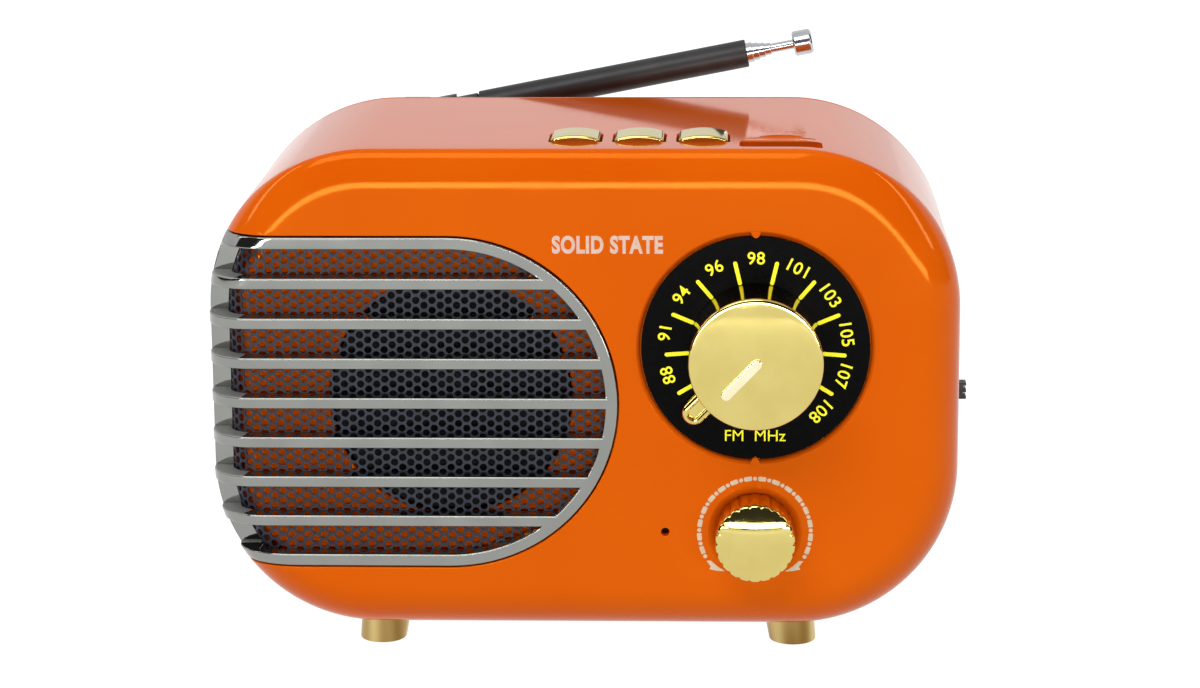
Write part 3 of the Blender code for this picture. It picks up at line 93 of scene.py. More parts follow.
DIAL_X = 0.0366
DIAL_Z = FOOT_HEIGHT + 0.06264
DIAL_RADIUS = 0.0244
DIAL_THICKNESS = 0.001
DIAL_POCKET_DEPTH = 0.0016
DIAL_FACE_Y = DIAL_POCKET_DEPTH - GAP - DIAL_THICKNESS
KNOB_RADIUS = 0.014
KNOB_EDGE = 0.0149
KNOB_CROWN = 0.0005
POINTER_ANGLE = math.radians(226)
EAR_TOP = 0.0031
EAR_BOTTOM = 0.0007
DIAL_BORE_RADIUS = 0.0049
DIAL_BOSS = (0.026, 0.0042)      # radius, back
BOSS_START = 0.002

VOLUME_Z = FOOT_HEIGHT + 0.0225
VOLUME_RADIUS = 0.0085
VOLUME_EDGE = 0.0087
VOLUME_CROWN = 0.0015
DISH_RADIUS = 0.0097
DISH_FLOOR_RADIUS = 0.00725
DISH_DEPTH = 0.0023
VOLUME_BORE_RADIUS = 0.0046
VOLUME_BOSS = (0.012, 0.005)
KNOB_BORE_BACK = 0.009

MICROPHONE_X = 0.01748
MICROPHONE_RADIUS = 0.0009
KEY_XS = (-0.0016, 0.01195, 0.0255)
KEY_Y = 0.0162
KEY_WIDTH = 0.0104
KEY_LENGTH = 0.0106
KEY_CLEARANCE = 0.0004
KEY_PROUD = 0.0014
KEY_EDGE_DROP = 0.0008
KEY_CUTS = 24
KEY_STEM_Z = 0.1042
KEY_STEM_RADIUS = 0.0012
KEY_FLANGE = 0.0011
PORT_X = 0.0419
CARD_SLIT_Y = 0.0156
CARD_SLIT_WIDTH = 0.0148
CARD_SLIT_GAP = 0.001
SCOOP_HALF_SIZES = (0.00475, 0.0032, 0.0009)        # the finger hollow at the card slit
SCOOP_OFFSET = 0.0008
USB_Y = 0.00895
USB_RECESS = (0.0173, 0.0073, 0.003)
USB_SHELL = (0.0131, 0.0057)
USB_BOTTOM_Z = 0.095
USB_BOSS_HALF_WIDTH = 0.0098
USB_BOSS_YS = (0.0045, 0.0138)
USB_BOSS_DROP = 0.006
SWITCH_Y = 0.020
SWITCH_Z = 0.0556
SWITCH_KNOB = (0.0032, 0.00365)
SWITCH_PROUD = 0.0022
SWITCH_TRAVEL = 0.0025
SWITCH_CLEARANCE = 0.0004
SWITCH_ROOT = 0.006

POST_REACH = 0.027
SCREW_HOLE_RADIUS = 0.0019
SCREW_HEAD_RADIUS = 0.003
SCREW_SHANK_RADIUS = 0.0013
SCREW_SINK = 0.0016
BACK_OPENING_DEPTH = 0.0062
JACK_RADIUS = 0.003
JACK_BORE_RADIUS = 0.0018
CHARGE_OPENING = (0.0096, 0.0044, 0.0021)           # width, height, corner
CHARGE_SHELL = (0.0084, 0.0034, 0.0016)
CHARGE_TONGUE = (0.0056, 0.0007, 0.0002)
CHARGE_X = 0.050
JACK_X = 0.034
BACK_PORT_Z = 0.030
VENT_COUNT = 7
VENT_PITCH = 0.006
VENT_HEIGHT = 0.022
VENT_WIDTH = 0.002

FOOT_X = 0.0442
FOOT_YS = (0.017, 0.059)
FOOT_SPLAY = 0.0008
FOOT_LOW_RADIUS = 0.00505
FOOT_TOP_RADIUS = 0.0054
FOOT_STUD_RADIUS = 0.0024

PIVOT = Vector((-0.041, 0.0809, 0.10536))
PIVOT_HOLE_RADIUS = 0.0016
BRACKET = (0.011, 0.0174, 0.003)                    # width, height, corner
BRACKET_Z = 0.1017
BRACKET_THICKNESS = 0.0026
HINGE_RADIUS = 0.0035
TONGUE_HALF = 0.0015
TONGUE_END = 0.0095
NECK_RADIUS = 0.00285
ANTENNA_LIFT = math.radians(11)
SLEEVE_RADIUS = 0.00318
SLEEVE_BORE_RADIUS = 0.0025
SLEEVE_START = 0.0148
SLEEVE_END = 0.0773
SECTION_RADIUS = 0.0023
SECTION_STEP = 0.0003
SECTION_WALL = 0.00018
SECTION_SHOWS = 0.0014
ROD_RADIUS = 0.00108
TIP_START = 0.0881
TIP_END = 0.0925
TIP_RADIUS = 0.00288

STEEP = math.radians(32)


# Materials

def colour_ramp(tree, source, stops, interpolation="LINEAR"):
    made = tree.nodes.new("ShaderNodeValToRGB")
    made.color_ramp.interpolation = interpolation
    elements = made.color_ramp.elements
    while len(elements) < len(stops):
        elements.new(0.5)
    for element, (position, colour) in zip(elements, stops):
        element.position = position
        if not isinstance(colour, tuple):
            colour = (colour, colour, colour)
        element.color = (*colour, 1.0)
    tree.links.new(source, made.inputs["Fac"])
    return made.outputs["Color"]


class Finish:
    """A Principled material whose colour, roughness and surface come from noise."""

    def __init__(self, name, roughness, metallic=0.0, **fixed):
        self.made = bpy.data.materials.new(name)
        self.made.use_nodes = True
        self.tree = self.made.node_tree
        self.shader = self.tree.nodes["Principled BSDF"]
        self.shader.inputs["Roughness"].default_value = roughness
        self.shader.inputs["Metallic"].default_value = metallic
        for socket, value in fixed.items():
            self.shader.inputs[socket.replace("_", " ")].default_value = value
        place = self.tree.nodes.new("ShaderNodeTexCoord")
        self.place = place.outputs["Object"]
        self.bumps = []

    def noise(self, scale, detail=3.0, stretch=None, roughness=0.5):
        source = self.place
        if stretch:
            mapping = self.tree.nodes.new("ShaderNodeMapping")
            mapping.inputs["Scale"].default_value = stretch
            self.tree.links.new(source, mapping.inputs["Vector"])
            source = mapping.outputs["Vector"]
        made = self.tree.nodes.new("ShaderNodeTexNoise")
        made.inputs["Scale"].default_value = scale
        made.inputs["Detail"].default_value = detail
        made.inputs["Roughness"].default_value = roughness
        self.tree.links.new(source, made.inputs["Vector"])
        return made.outputs["Fac"]

    def colour(self, low, high, scale, detail=3.0, stretch=None, edges=(0.35, 0.65)):
        source = self.noise(scale, detail, stretch)
        ramp = colour_ramp(self.tree, source, [(edges[0], low), (edges[1], high)])
        self.tree.links.new(ramp, self.shader.inputs["Base Color"])
        return self

    def gloss(self, low, high, scale, detail=4.0, stretch=None):
        source = self.noise(scale, detail, stretch)
        ramp = colour_ramp(self.tree, source, [(0.3, low), (0.7, high)])
        self.tree.links.new(ramp, self.shader.inputs["Roughness"])
        return self

    def bump(self, scale, height, detail=2.0, stretch=None):
        made = self.tree.nodes.new("ShaderNodeBump")
        made.inputs["Strength"].default_value = 1.0
        made.inputs["Distance"].default_value = height
        self.tree.links.new(self.noise(scale, detail, stretch), made.inputs["Height"])
        if self.bumps:
            self.tree.links.new(self.bumps[-1], made.inputs["Normal"])
        self.bumps.append(made.outputs["Normal"])
        self.tree.links.new(made.outputs["Normal"], self.shader.inputs["Normal"])
        return self


def tinted(red, green, blue):
    return (red, green, blue, 1.0)


ORANGE = Finish("orange_paint", 0.08, Specular_Tint=tinted(1.0, 0.44, 0.06))
ORANGE.colour((0.775, 0.108, 0.0012), (0.80, 0.122, 0.002), 22).gloss(0.06, 0.11, 60)
ORANGE.bump(700, 0.0000025)
GUNMETAL = Finish("smoked_chrome", 0.07, 1.0)
GUNMETAL.colour((0.295, 0.301, 0.281), (0.326, 0.333, 0.311), 90)
GUNMETAL.gloss(0.04, 0.10, 120, stretch=(0.25, 1.0, 1.0)).bump(260, 0.000002)
LEDGE_SATIN = Finish("ledge_satin", 0.45, 0.3)
LEDGE_SATIN.colour((0.30, 0.305, 0.29), (0.34, 0.345, 0.33), 120)
MESH_PAINT = Finish("mesh_paint", 0.38, Specular_IOR_Level=0.3)
MESH_PAINT.colour((0.026, 0.028, 0.044), (0.038, 0.041, 0.064), 400).gloss(0.32, 0.44, 900)
DIAL_BLACK = Finish("dial_black", 0.30, Specular_IOR_Level=0.04)
DIAL_BLACK.colour((0.0006, 0.0006, 0.0006), (0.0014, 0.0014, 0.0014), 500).gloss(0.25, 0.36, 700)
GOLD = Finish("gold_plate", 0.06, 1.0)
GOLD.colour((0.69, 0.565, 0.182), (0.73, 0.61, 0.206), 140).gloss(0.03, 0.08, 220)
GOLD.bump(300, 0.0000015)
# Feet gold: the dark-to-bright vertical streaks in its colour are a painted reflection of the
# studio around the feet, not a real finish.
FEET_GOLD_PAINTED_REFLECTION = Finish("satin_gold", 0.21, 1.0)
FEET_GOLD_PAINTED_REFLECTION.colour((0.26, 0.14, 0.03), (0.70, 0.54, 0.22), 150, detail=1.0,
                  stretch=(1.0, 1.0, 0.05), edges=(0.36, 0.60))
FEET_GOLD_PAINTED_REFLECTION.gloss(0.18, 0.24, 160).bump(180, 0.000003)
BLACK_PLASTIC = Finish("black_plastic", 0.42)
BLACK_PLASTIC.colour((0.014, 0.014, 0.015), (0.024, 0.024, 0.026), 300).gloss(0.36, 0.5, 600)
BLACK_PLASTIC.bump(1500, 0.000008)
SLEEVE_BLACK = Finish("sleeve_black", 0.45)
SLEEVE_BLACK.colour((0.019, 0.018, 0.018), (0.026, 0.025, 0.025), 160).gloss(0.42, 0.48, 300)
CHROME = Finish("bright_chrome", 0.2, 1.0)
CHROME.colour((0.60, 0.62, 0.65), (0.66, 0.68, 0.70), 240).gloss(0.17, 0.23, 400)
STEEL = Finish("zinc_steel", 0.3, 1.0)
STEEL.colour((0.42, 0.43, 0.44), (0.55, 0.56, 0.57), 260).gloss(0.22, 0.38, 500)
FERRITE = Finish("ferrite", 0.65, 0.1)
FERRITE.colour((0.040, 0.040, 0.043), (0.075, 0.075, 0.08), 500).bump(900, 0.00003)
PAPER = Finish("cone_paper", 0.85)
PAPER.colour((0.005, 0.005, 0.006), (0.011, 0.011, 0.013), 900).bump(1600, 0.00003)
COPPER = Finish("copper_wire", 0.3, 1.0)
COPPER.colour((0.62, 0.27, 0.12), (0.75, 0.36, 0.18), 400, stretch=(1.0, 8.0, 1.0))
CIRCUIT = Finish("circuit_board", 0.45)
CIRCUIT.colour((0.012, 0.12, 0.045), (0.03, 0.19, 0.07), 350, edges=(0.45, 0.55))
CELL_WRAP = Finish("cell_wrap", 0.35)
CELL_WRAP.colour((0.02, 0.09, 0.34), (0.035, 0.13, 0.44), 200).gloss(0.28, 0.4, 300)
# Darker gold for the tuning knob's side walls: painted shade, standing in for the dark dial they
# reflect.
KNOB_WALL_GOLD_PAINTED_SHADE = Finish("knob_wall_gold_painted_shade", 0.10, 1.0)
KNOB_WALL_GOLD_PAINTED_SHADE.colour((0.36, 0.22, 0.10), (0.42, 0.26, 0.12), 140).gloss(0.08, 0.14, 220)
PALE_GOLD = Finish("pale_gold", 0.16, 1.0)
PALE_GOLD.colour((0.88, 0.80, 0.52), (0.93, 0.86, 0.60), 200)
PAINTED_GLOW_YELLOW_INK = Finish("painted_glow_yellow_ink", 0.5)
PAINTED_GLOW_YELLOW_INK.colour((0.95, 0.90, 0.0), (1.0, 0.96, 0.004), 800)
# The yellow print also glows faintly: a painted glow, since the ink is no lamp.
PAINTED_GLOW_YELLOW_INK.shader.inputs["Emission Color"].default_value = (1.0, 0.93, 0.0, 1.0)
PAINTED_GLOW_YELLOW_INK.shader.inputs["Emission Strength"].default_value = 0.25
CREAM_PRINT = Finish("cream_print", 0.55)
CREAM_PRINT.colour((0.72, 0.58, 0.40), (0.80, 0.66, 0.46), 900)
PALE_PRINT = Finish("pale_print", 0.5)
PALE_PRINT.colour((0.74, 0.50, 0.38), (0.82, 0.58, 0.46), 900)

BY_SLOT = {
    "orange_gloss": ORANGE, "gunmetal_plate": GUNMETAL, "mesh_paint": MESH_PAINT,
    "dial_black": DIAL_BLACK, "gold_plate": GOLD, "satin_gold": FEET_GOLD_PAINTED_REFLECTION,
    "black_plastic": BLACK_PLASTIC, "sleeve_black": SLEEVE_BLACK, "chrome": CHROME,
    "steel": STEEL, "ferrite": FERRITE, "cone_paper": PAPER, "copper": COPPER,
    "circuit_board": CIRCUIT, "cell_wrap": CELL_WRAP,
}
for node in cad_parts.values():
    for held in node.material_slots:
        base_name = held.material.name.split(".")[0]
        held.material = BY_SLOT[base_name].made
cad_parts["microphone"].material_slots[0].material = PAPER.made


# Mesh tools

def as_object(name, bm):
    bmesh.ops.recalc_face_normals(bm, faces=bm.faces)
    mesh = bpy.data.meshes.new(name)
    bm.to_mesh(mesh)
    bm.free()
    made = bpy.data.objects.new(name, mesh)
    bpy.context.scene.collection.objects.link(made)
    return made


def combine(target, others, operation="DIFFERENCE"):
    """One bmesh cut by, or joined to, the others, which are used up."""
    body = as_object("combined", target)
    tools = [as_object("tool", other) for other in others]
    for tool in tools:
        modifier = body.modifiers.new("Cut", "BOOLEAN")
        modifier.operation = operation
        modifier.solver = "EXACT"
        modifier.object = tool
    graph = bpy.context.evaluated_depsgraph_get()
    mesh = bpy.data.meshes.new_from_object(body.evaluated_get(graph))
    made = bmesh.new()
    made.from_mesh(mesh)
    for used in (body, *tools):
        bpy.data.objects.remove(used, do_unlink=True)
    return made


def tidy_mesh(bm, distance=0.000008):
    bmesh.ops.remove_doubles(bm, verts=bm.verts, dist=distance)
    bmesh.ops.dissolve_degenerate(bm, edges=bm.edges, dist=distance / 2)
    return bm


def piece(name, bm, finish, body, nodes=(), weighted=True, steep=STEEP):
    """Turn a bmesh in the cabinet's frame into a piece that rides on a body, with its finish as its
    material. One that replaces CAD nodes hides them."""
    bmesh.ops.transform(bm, matrix=TO_WORLD, verts=bm.verts)
    made = as_object(name, bm)
    made.data.materials.append(finish.made)
    made.data.shade_smooth()
    made.data.set_sharp_from_angle(angle=steep)
    if weighted:
        normals = made.modifiers.new("Flat faces stay flat", "WEIGHTED_NORMAL")
        normals.weight = 90
        normals.keep_sharp = True
    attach(made, body)
    if nodes:
        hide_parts(*nodes)
    return made


def join(*parts):
    made = parts[0]
    for part in parts[1:]:
        mesh = bpy.data.meshes.new("joined")
        part.to_mesh(mesh)
        part.free()
        made.from_mesh(mesh)
        bpy.data.meshes.remove(mesh)
    return made


def moved(bm, matrix):
    bmesh.ops.transform(bm, matrix=matrix, verts=bm.verts)
    return bm


def rounded_corners(points, steps=4, closed=False):
    """Replace each (a, b, radius) corner of a polyline by an arc of that radius."""
    made = []
    count = len(points)
    for i, point in enumerate(points):
        here = Vector(point[:2])
        radius = point[2] if len(point) > 2 else 0.0
        if radius <= 0.0 or (not closed and i in (0, count - 1)):
            made.append(tuple(here))
            continue
        before = (Vector(points[i - 1][:2]) - here).normalized()
        after = (Vector(points[(i + 1) % count][:2]) - here).normalized()
        half = before.angle(after) / 2
        reach = radius / math.tan(half)
        centre = here + (before + after).normalized() * (radius / math.sin(half))
        first, last = here + before * reach - centre, here + after * reach - centre
        turn = first.angle_signed(last)
        for k in range(steps + 1):
            spoke = Matrix.Rotation(-turn * k / steps, 2) @ first
            made.append(tuple(centre + spoke))
    return made


def lathe(profile, steps=64, closed=False, radius_at=None):
    """Turn (radius, height) points about Z. radius_at(radius, height, angle) may shape it."""
    bm = bmesh.new()
    rings = []
    for radius, height in profile:
        if radius < 1e-7:
            rings.append([bm.verts.new((0.0, 0.0, height))])
            continue
        ring = []
        for i in range(steps):
            angle = 2 * math.pi * i / steps
            reach = radius_at(radius, height, angle) if radius_at else radius
            ring.append(bm.verts.new((reach * math.cos(angle), reach * math.sin(angle), height)))
        rings.append(ring)
    pairs = list(zip(rings, rings[1:]))
    if closed:
        pairs.append((rings[-1], rings[0]))
    for one, two in pairs:
        for i in range(steps):
            j = (i + 1) % steps
            corners = [one[i % len(one)], one[j % len(one)], two[j % len(two)], two[i % len(two)]]
            unique = list(dict.fromkeys(corners))
            if len(unique) > 2:
                bm.faces.new(unique)
    return bm


def facing_front(x, z, y=0.0):
    """Puts a lathe's +Z out of the front face at (x, z)."""
    return Matrix.Translation((x, y, z)) @ Matrix.Rotation(math.pi / 2, 4, "X")


DIAL_PLACE = facing_front(DIAL_X, DIAL_Z)
VOLUME_PLACE = facing_front(DIAL_X, VOLUME_Z)


def facing_back(x, z, y=0.0):
    return Matrix.Translation((x, y, z)) @ Matrix.Rotation(-math.pi / 2, 4, "X")


def turned(profile, matrix, steps=64, corners=4, closed=False, radius_at=None):
    return moved(lathe(rounded_corners(profile, corners, closed), steps, closed, radius_at), matrix)


def loft(loops, closed_ends=True):
    """Skin a list of equally long loops of 3-D points, with flat ends."""
    bm = bmesh.new()
    rows = [[bm.verts.new(point) for point in loop] for loop in loops]
    count = len(rows[0])
    for one, two in zip(rows, rows[1:]):
        for i in range(count):
            j = (i + 1) % count
            bm.faces.new((one[i], one[j], two[j], two[i]))
    if closed_ends:
        bm.faces.new(rows[0])
        bm.faces.new(rows[-1])
    return bm


def shifted_in(outline, amount):
    """A closed anticlockwise 2-D outline with every side moved in by amount."""
    made = []
    count = len(outline)
    for i, point in enumerate(outline):
        here = Vector(point)
        before = (here - Vector(outline[i - 1])).normalized()
        after = (Vector(outline[(i + 1) % count]) - here).normalized()
        across = Vector((-before.y - after.y, before.x + after.x)).normalized()
        lean = max(across.dot(Vector((-before.y, before.x))), 0.3)
        made.append(here + across * (amount / lean))
    return made


def quarter(radius, steps):
    """A quarter turn of rounding: distances in from its first and from its last tangent."""
    angles = [math.pi / 2 * i / steps for i in range(steps + 1)]
    return [(radius * (1 - math.sin(angle)), radius * (1 - math.cos(angle)))
            for angle in angles]


def edge_levels(top, bottom, top_edge, bottom_edge=0.0, steps=3):
    """(height, inset) levels of a plate whose top edge, and bottom edge if asked, are
    rounded."""
    made = [(top - drop, inset) for inset, drop in quarter(top_edge, steps)]
    if bottom_edge:
        return made + [(bottom + rise, inset)
                       for inset, rise in reversed(quarter(bottom_edge, steps))]
    return made + [(bottom, 0.0)]


def slab(outline, levels, matrix):
    """A plate drawn in its own XY plane through (height, inset) levels."""
    loops = []
    for height, inset in levels:
        loops.append([(*point, height) for point in shifted_in(outline, inset)])
    return moved(loft(loops), matrix)


def straight(outline, high, low, matrix):
    """A plain plate or cutter between two heights."""
    return slab(outline, [(high, 0.0), (low, 0.0)], matrix)


def rounded_rectangle(width, height, radius, steps=6, centre=(0.0, 0.0)):
    made = []
    for sx, sy, start in ((1, 1, 0.0), (-1, 1, 90.0), (-1, -1, 180.0), (1, -1, 270.0)):
        cx = centre[0] + sx * (width / 2 - radius)
        cy = centre[1] + sy * (height / 2 - radius)
        for i in range(steps + 1):
            angle = math.radians(start + 90.0 * i / steps)
            made.append((cx + radius * math.cos(angle), cy + radius * math.sin(angle)))
    return made


def circle(radius, steps, centre=(0.0, 0.0)):
    return [(centre[0] + radius * math.cos(2 * math.pi * i / steps),
             centre[1] + radius * math.sin(2 * math.pi * i / steps)) for i in range(steps)]


def stadium(start, end, width, angle, steps=12):
    """A bar with round ends that runs from start to end along an angle."""
    half = width / 2
    turn = Matrix.Rotation(angle, 2)
    made = []
    for middle, first in ((end - half, -90.0), (start + half, 90.0)):
        for i in range(steps + 1):
            spoke = math.radians(first + 180.0 * i / steps)
            made.append(tuple(turn @ Vector((middle + half * math.cos(spoke),
                                             half * math.sin(spoke)))))
    return made


def box(low, high, edge=0.0, steps=2):
    bm = bmesh.new()
    low, high = Vector(low), Vector(high)
    matrix = Matrix.Translation((low + high) / 2) @ Matrix.Diagonal((high - low).to_4d())
    bmesh.ops.create_cube(bm, size=1.0, matrix=matrix)
    if edge:
        bmesh.ops.bevel(bm, geom=list(bm.edges), offset=edge, segments=steps, profile=0.5,
                        affect="EDGES")
    return bm


UP = Matrix.Identity(4)
FRONT = Matrix.Rotation(math.pi / 2, 4, "X")        # drawn x, y become the cabinet's x, z


def behind(y):
    """Puts a drawing at depth y, seen from behind, so that its x runs the other way."""
    return Matrix.Translation((0, y, 0)) @ Matrix.Rotation(math.pi, 4, "Z") @ FRONT


# Cabinet

def fillet_depth(x, z):
    """How far back the front rounding reaches at the outline's point x, z: less along the
    top than elsewhere."""
    middle_x = BODY_WIDTH / 2 - CORNER_RADIUS
    middle_z = BODY_TOP_Z - CORNER_RADIUS
    if z <= middle_z:
        return FRONT_FILLET
    upwards = (z - middle_z) / math.hypot(max(abs(x) - middle_x, 0.0), z - middle_z)
    share = max(0.0, (upwards - TOP_FILLET_START) / (1 - TOP_FILLET_START))
    share = share * share * (3 - 2 * share)
    return FRONT_FILLET + share * (TOP_FILLET_DEPTH - FRONT_FILLET)


def block_loop(y, inset, corner_steps, flatter=False):
    """The cabinet's rounded outline moved in by inset, at depth y."""
    outline = rounded_rectangle(BODY_WIDTH - 2 * inset, BODY_HEIGHT - 2 * inset,
                                CORNER_RADIUS - inset, corner_steps, (0.0, BODY_MIDDLE_Z))
    if flatter and y < FRONT_FILLET:
        return [(x, y * fillet_depth(x, z) / FRONT_FILLET, z) for x, z in outline]
    return [(x, y, z) for x, z in outline]


def block(rows, corner_steps=28, flatter=False):
    return loft([block_loop(y, inset, corner_steps, flatter) for y, inset in rows])


def front_rows(inset, back, steps=16):
    """From the flat front round the fillet to a straight rear end."""
    rounding = reversed(quarter(FRONT_FILLET - inset, steps))
    return [(inset + depth, inset + side) for depth, side in rounding] + [(back, inset)]


def outline_x(z, inset):
    """The left side of the cabinet's outline moved in by inset, at height z."""
    radius = CORNER_RADIUS - inset
    beyond = abs(z - BODY_MIDDLE_Z) - (BODY_HEIGHT / 2 - CORNER_RADIUS)
    left = -BODY_WIDTH / 2 + inset
    if beyond <= 0.0:
        return left
    return left + radius - math.sqrt(max(radius ** 2 - beyond ** 2, 0.0))


FLAT_END_X = -0.045


def wrapped(along, z, depth):
    """A point under the front-left surface: along runs from the rear end of the grille's
    band (0) to the fillet (1), round the fillet (2) and over the flat front (3)."""
    if along <= 1.0:
        y = BAND_BACK_Y + (FRONT_FILLET - BAND_BACK_Y) * along
        return Vector((outline_x(z, depth), y, z))
    if along <= 2.0:
        angle = (along - 1.0) * math.pi / 2
        radius = FRONT_FILLET - depth
        return Vector((outline_x(z, depth + radius * (1 - math.cos(angle))),
                       depth + radius * (1 - math.sin(angle)), z))
    start = outline_x(z, FRONT_FILLET)
    return Vector((start + (along - 2.0) * (FLAT_END_X - start), depth, z))


class Plate:
    """A plate of nodes, each a function of (edge offset, depth), and faces between them."""

    def __init__(self):
        self.nodes = []
        self.faces = []

    def node(self, place):
        self.nodes.append(place)
        return len(self.nodes) - 1

    def solid(self, levels):
        """levels are (offset, depth) from the front face to the back face."""
        edges = {(face[i - 1], face[i]) for face in self.faces for i in range(len(face))}
        border = [(a, b) for a, b in edges if (b, a) not in edges]
        border.sort()
        bm = bmesh.new()
        made = {}

        def vertex(number, level):
            if (number, level) not in made:
                made[number, level] = bm.verts.new(self.nodes[number](*levels[level]))
            return made[number, level]

        last = len(levels) - 1
        for face in self.faces:
            bm.faces.new([vertex(number, 0) for number in face])
            bm.faces.new([vertex(number, last) for number in reversed(face)])
        for a, b in border:
            for level in range(last):
                bm.faces.new((vertex(a, level), vertex(a, level + 1),
                              vertex(b, level + 1), vertex(b, level)))
        return bm


def between(one, two, share):
    return lambda offset: one(offset) + (two(offset) - one(offset)) * share


def wrapped_plate(radius, rear_y, slots=(), window=0.0, band_front=0.0, band_edge=1.0):
    """The grille's outline, open or with slots, as a Plate that follows the cabinet."""
    plate = Plate()
    span = BAND_BACK_Y - FRONT_FILLET

    def edge_z(level, side):
        return lambda offset: GRILLE_Z + level + side * offset

    bounds = [edge_z(radius, -1)]
    for high, low in slots:
        bounds += [edge_z(high, 1), edge_z(low, -1)]
    bounds.append(edge_z(-radius, 1))
    rows, kinds = [], []
    for number, (upper, lower) in enumerate(zip(bounds, bounds[1:])):
        kind = "slot" if number % 2 else "bar"
        steps = 6 if kind == "slot" else (4 if slots else 30)
        for i in range(steps):
            rows.append(between(upper, lower, i / steps))
            kinds.append((kind, number, i))
    rows.append(bounds[-1])

    def rear(offset):
        return (BAND_BACK_Y - rear_y + offset) / span

    def slot_end(offset):
        return (BAND_BACK_Y - band_front - band_edge * offset) / span

    columns = [rear, lambda offset: 0.8]
    if slots:
        columns = [between(rear, slot_end, i / 4) for i in range(5)]
    band = len(columns) if slots else 0
    columns += [lambda offset, a=a: a for a in (1.0, *[1.0 + i / 14 for i in range(1, 15)],
                                                2.2, 2.5, 3.0)]

    solid_row = [True] * len(rows)
    for i, (kind, _, step) in enumerate(kinds):
        if kind == "slot" and step > 0:
            solid_row[i] = False
    grid = {}
    for r, row in enumerate(rows):
        for c, column in enumerate(columns):
            if c < band or solid_row[r]:
                grid[r, c] = plate.node(
                    lambda offset, depth, row=row, column=column:
                    wrapped(column(offset), row(offset), depth))
    for r in range(len(rows) - 1):
        for c in range(len(columns) - 1):
            if c + 1 < band or not band or kinds[r][0] == "bar":
                plate.faces.append((grid[r, c], grid[r + 1, c], grid[r + 1, c + 1],
                                    grid[r, c + 1]))

    def arc_node(reach, sign, angle_at):
        def place(offset, depth):
            spoke = angle_at(offset)
            length = reach + sign * offset
            return Vector((GRILLE_X + length * math.cos(spoke), depth,
                           GRILLE_Z + length * math.sin(spoke)))
        return plate.node(place)

    last = len(columns) - 1
    face = [grid[len(rows) - 1, last]]
    for i in range(49):
        angle = math.radians(-90 + 180 * i / 48)
        face.append(arc_node(radius, -1, lambda offset, angle=angle: angle))
    for r in range(len(rows) - 1):
        if solid_row[r]:
            face.append(grid[r, last])
        kind, number, step = kinds[r]
        if kind == "slot" and step == 0:
            high, low = slots[number // 2]

            def angle_at(offset, share, high=high, low=low):
                first = math.asin((high + offset) / (window + offset))
                second = math.asin((low - offset) / (window + offset))
                return first + (second - first) * share

            for i in range(9):
                face.append(arc_node(window, 1, lambda offset, share=i / 8, fn=angle_at:
                                     fn(offset, share)))
    plate.faces.append(tuple(face))
    return plate


def flare(edge, depth, top=0.0008, stop=62.0, steps=3, out=-1):
    """(offset, depth) levels of a cutter with a rounded mouth."""
    last = math.radians(stop)
    reach = edge * (1 - math.cos(last))
    rise = edge * (1 - math.sin(last))
    levels = [(out * (reach + (rise + top) * math.tan(last)), -top)]
    for i in range(steps, -1, -1):
        angle = last * i / steps
        levels.append((out * edge * (1 - math.cos(angle)), edge * (1 - math.sin(angle))))
    levels.append((0.0, depth))
    return levels


def mouth_slab(outline, edge, depth, matrix, top=0.0008):
    """A cutter for a hole in a flat face, with a rounded mouth."""
    levels = [(-level, offset) for offset, level in flare(edge, depth, top)]
    return slab(outline, levels, matrix)


def grille_block(radius, front, back):
    left = -BODY_WIDTH / 2 - OVER
    outline = [(left, GRILLE_Z + radius), (left, GRILLE_Z - radius)]
    for i in range(33):
        angle = math.radians(-90 + 180 * i / 32)
        outline.append((GRILLE_X + radius * math.cos(angle), GRILLE_Z + radius * math.sin(angle)))
    return loft([[(x, y, z) for x, z in outline] for y in (front, back)])


def post_places():
    reach = POST_REACH / math.sqrt(2)
    for side, x_sign in (("left", -1), ("right", 1)):
        for level, z_sign in (("lower", -1), ("upper", 1)):
            x = x_sign * (BODY_WIDTH / 2 - CORNER_RADIUS + reach)
            z = BODY_MIDDLE_Z + z_sign * (BODY_HEIGHT / 2 - CORNER_RADIUS + reach)
            yield f"{level}_{side}", x, z


def top_matrix(x, y):
    return Matrix.Translation((x, y, BODY_TOP_Z))


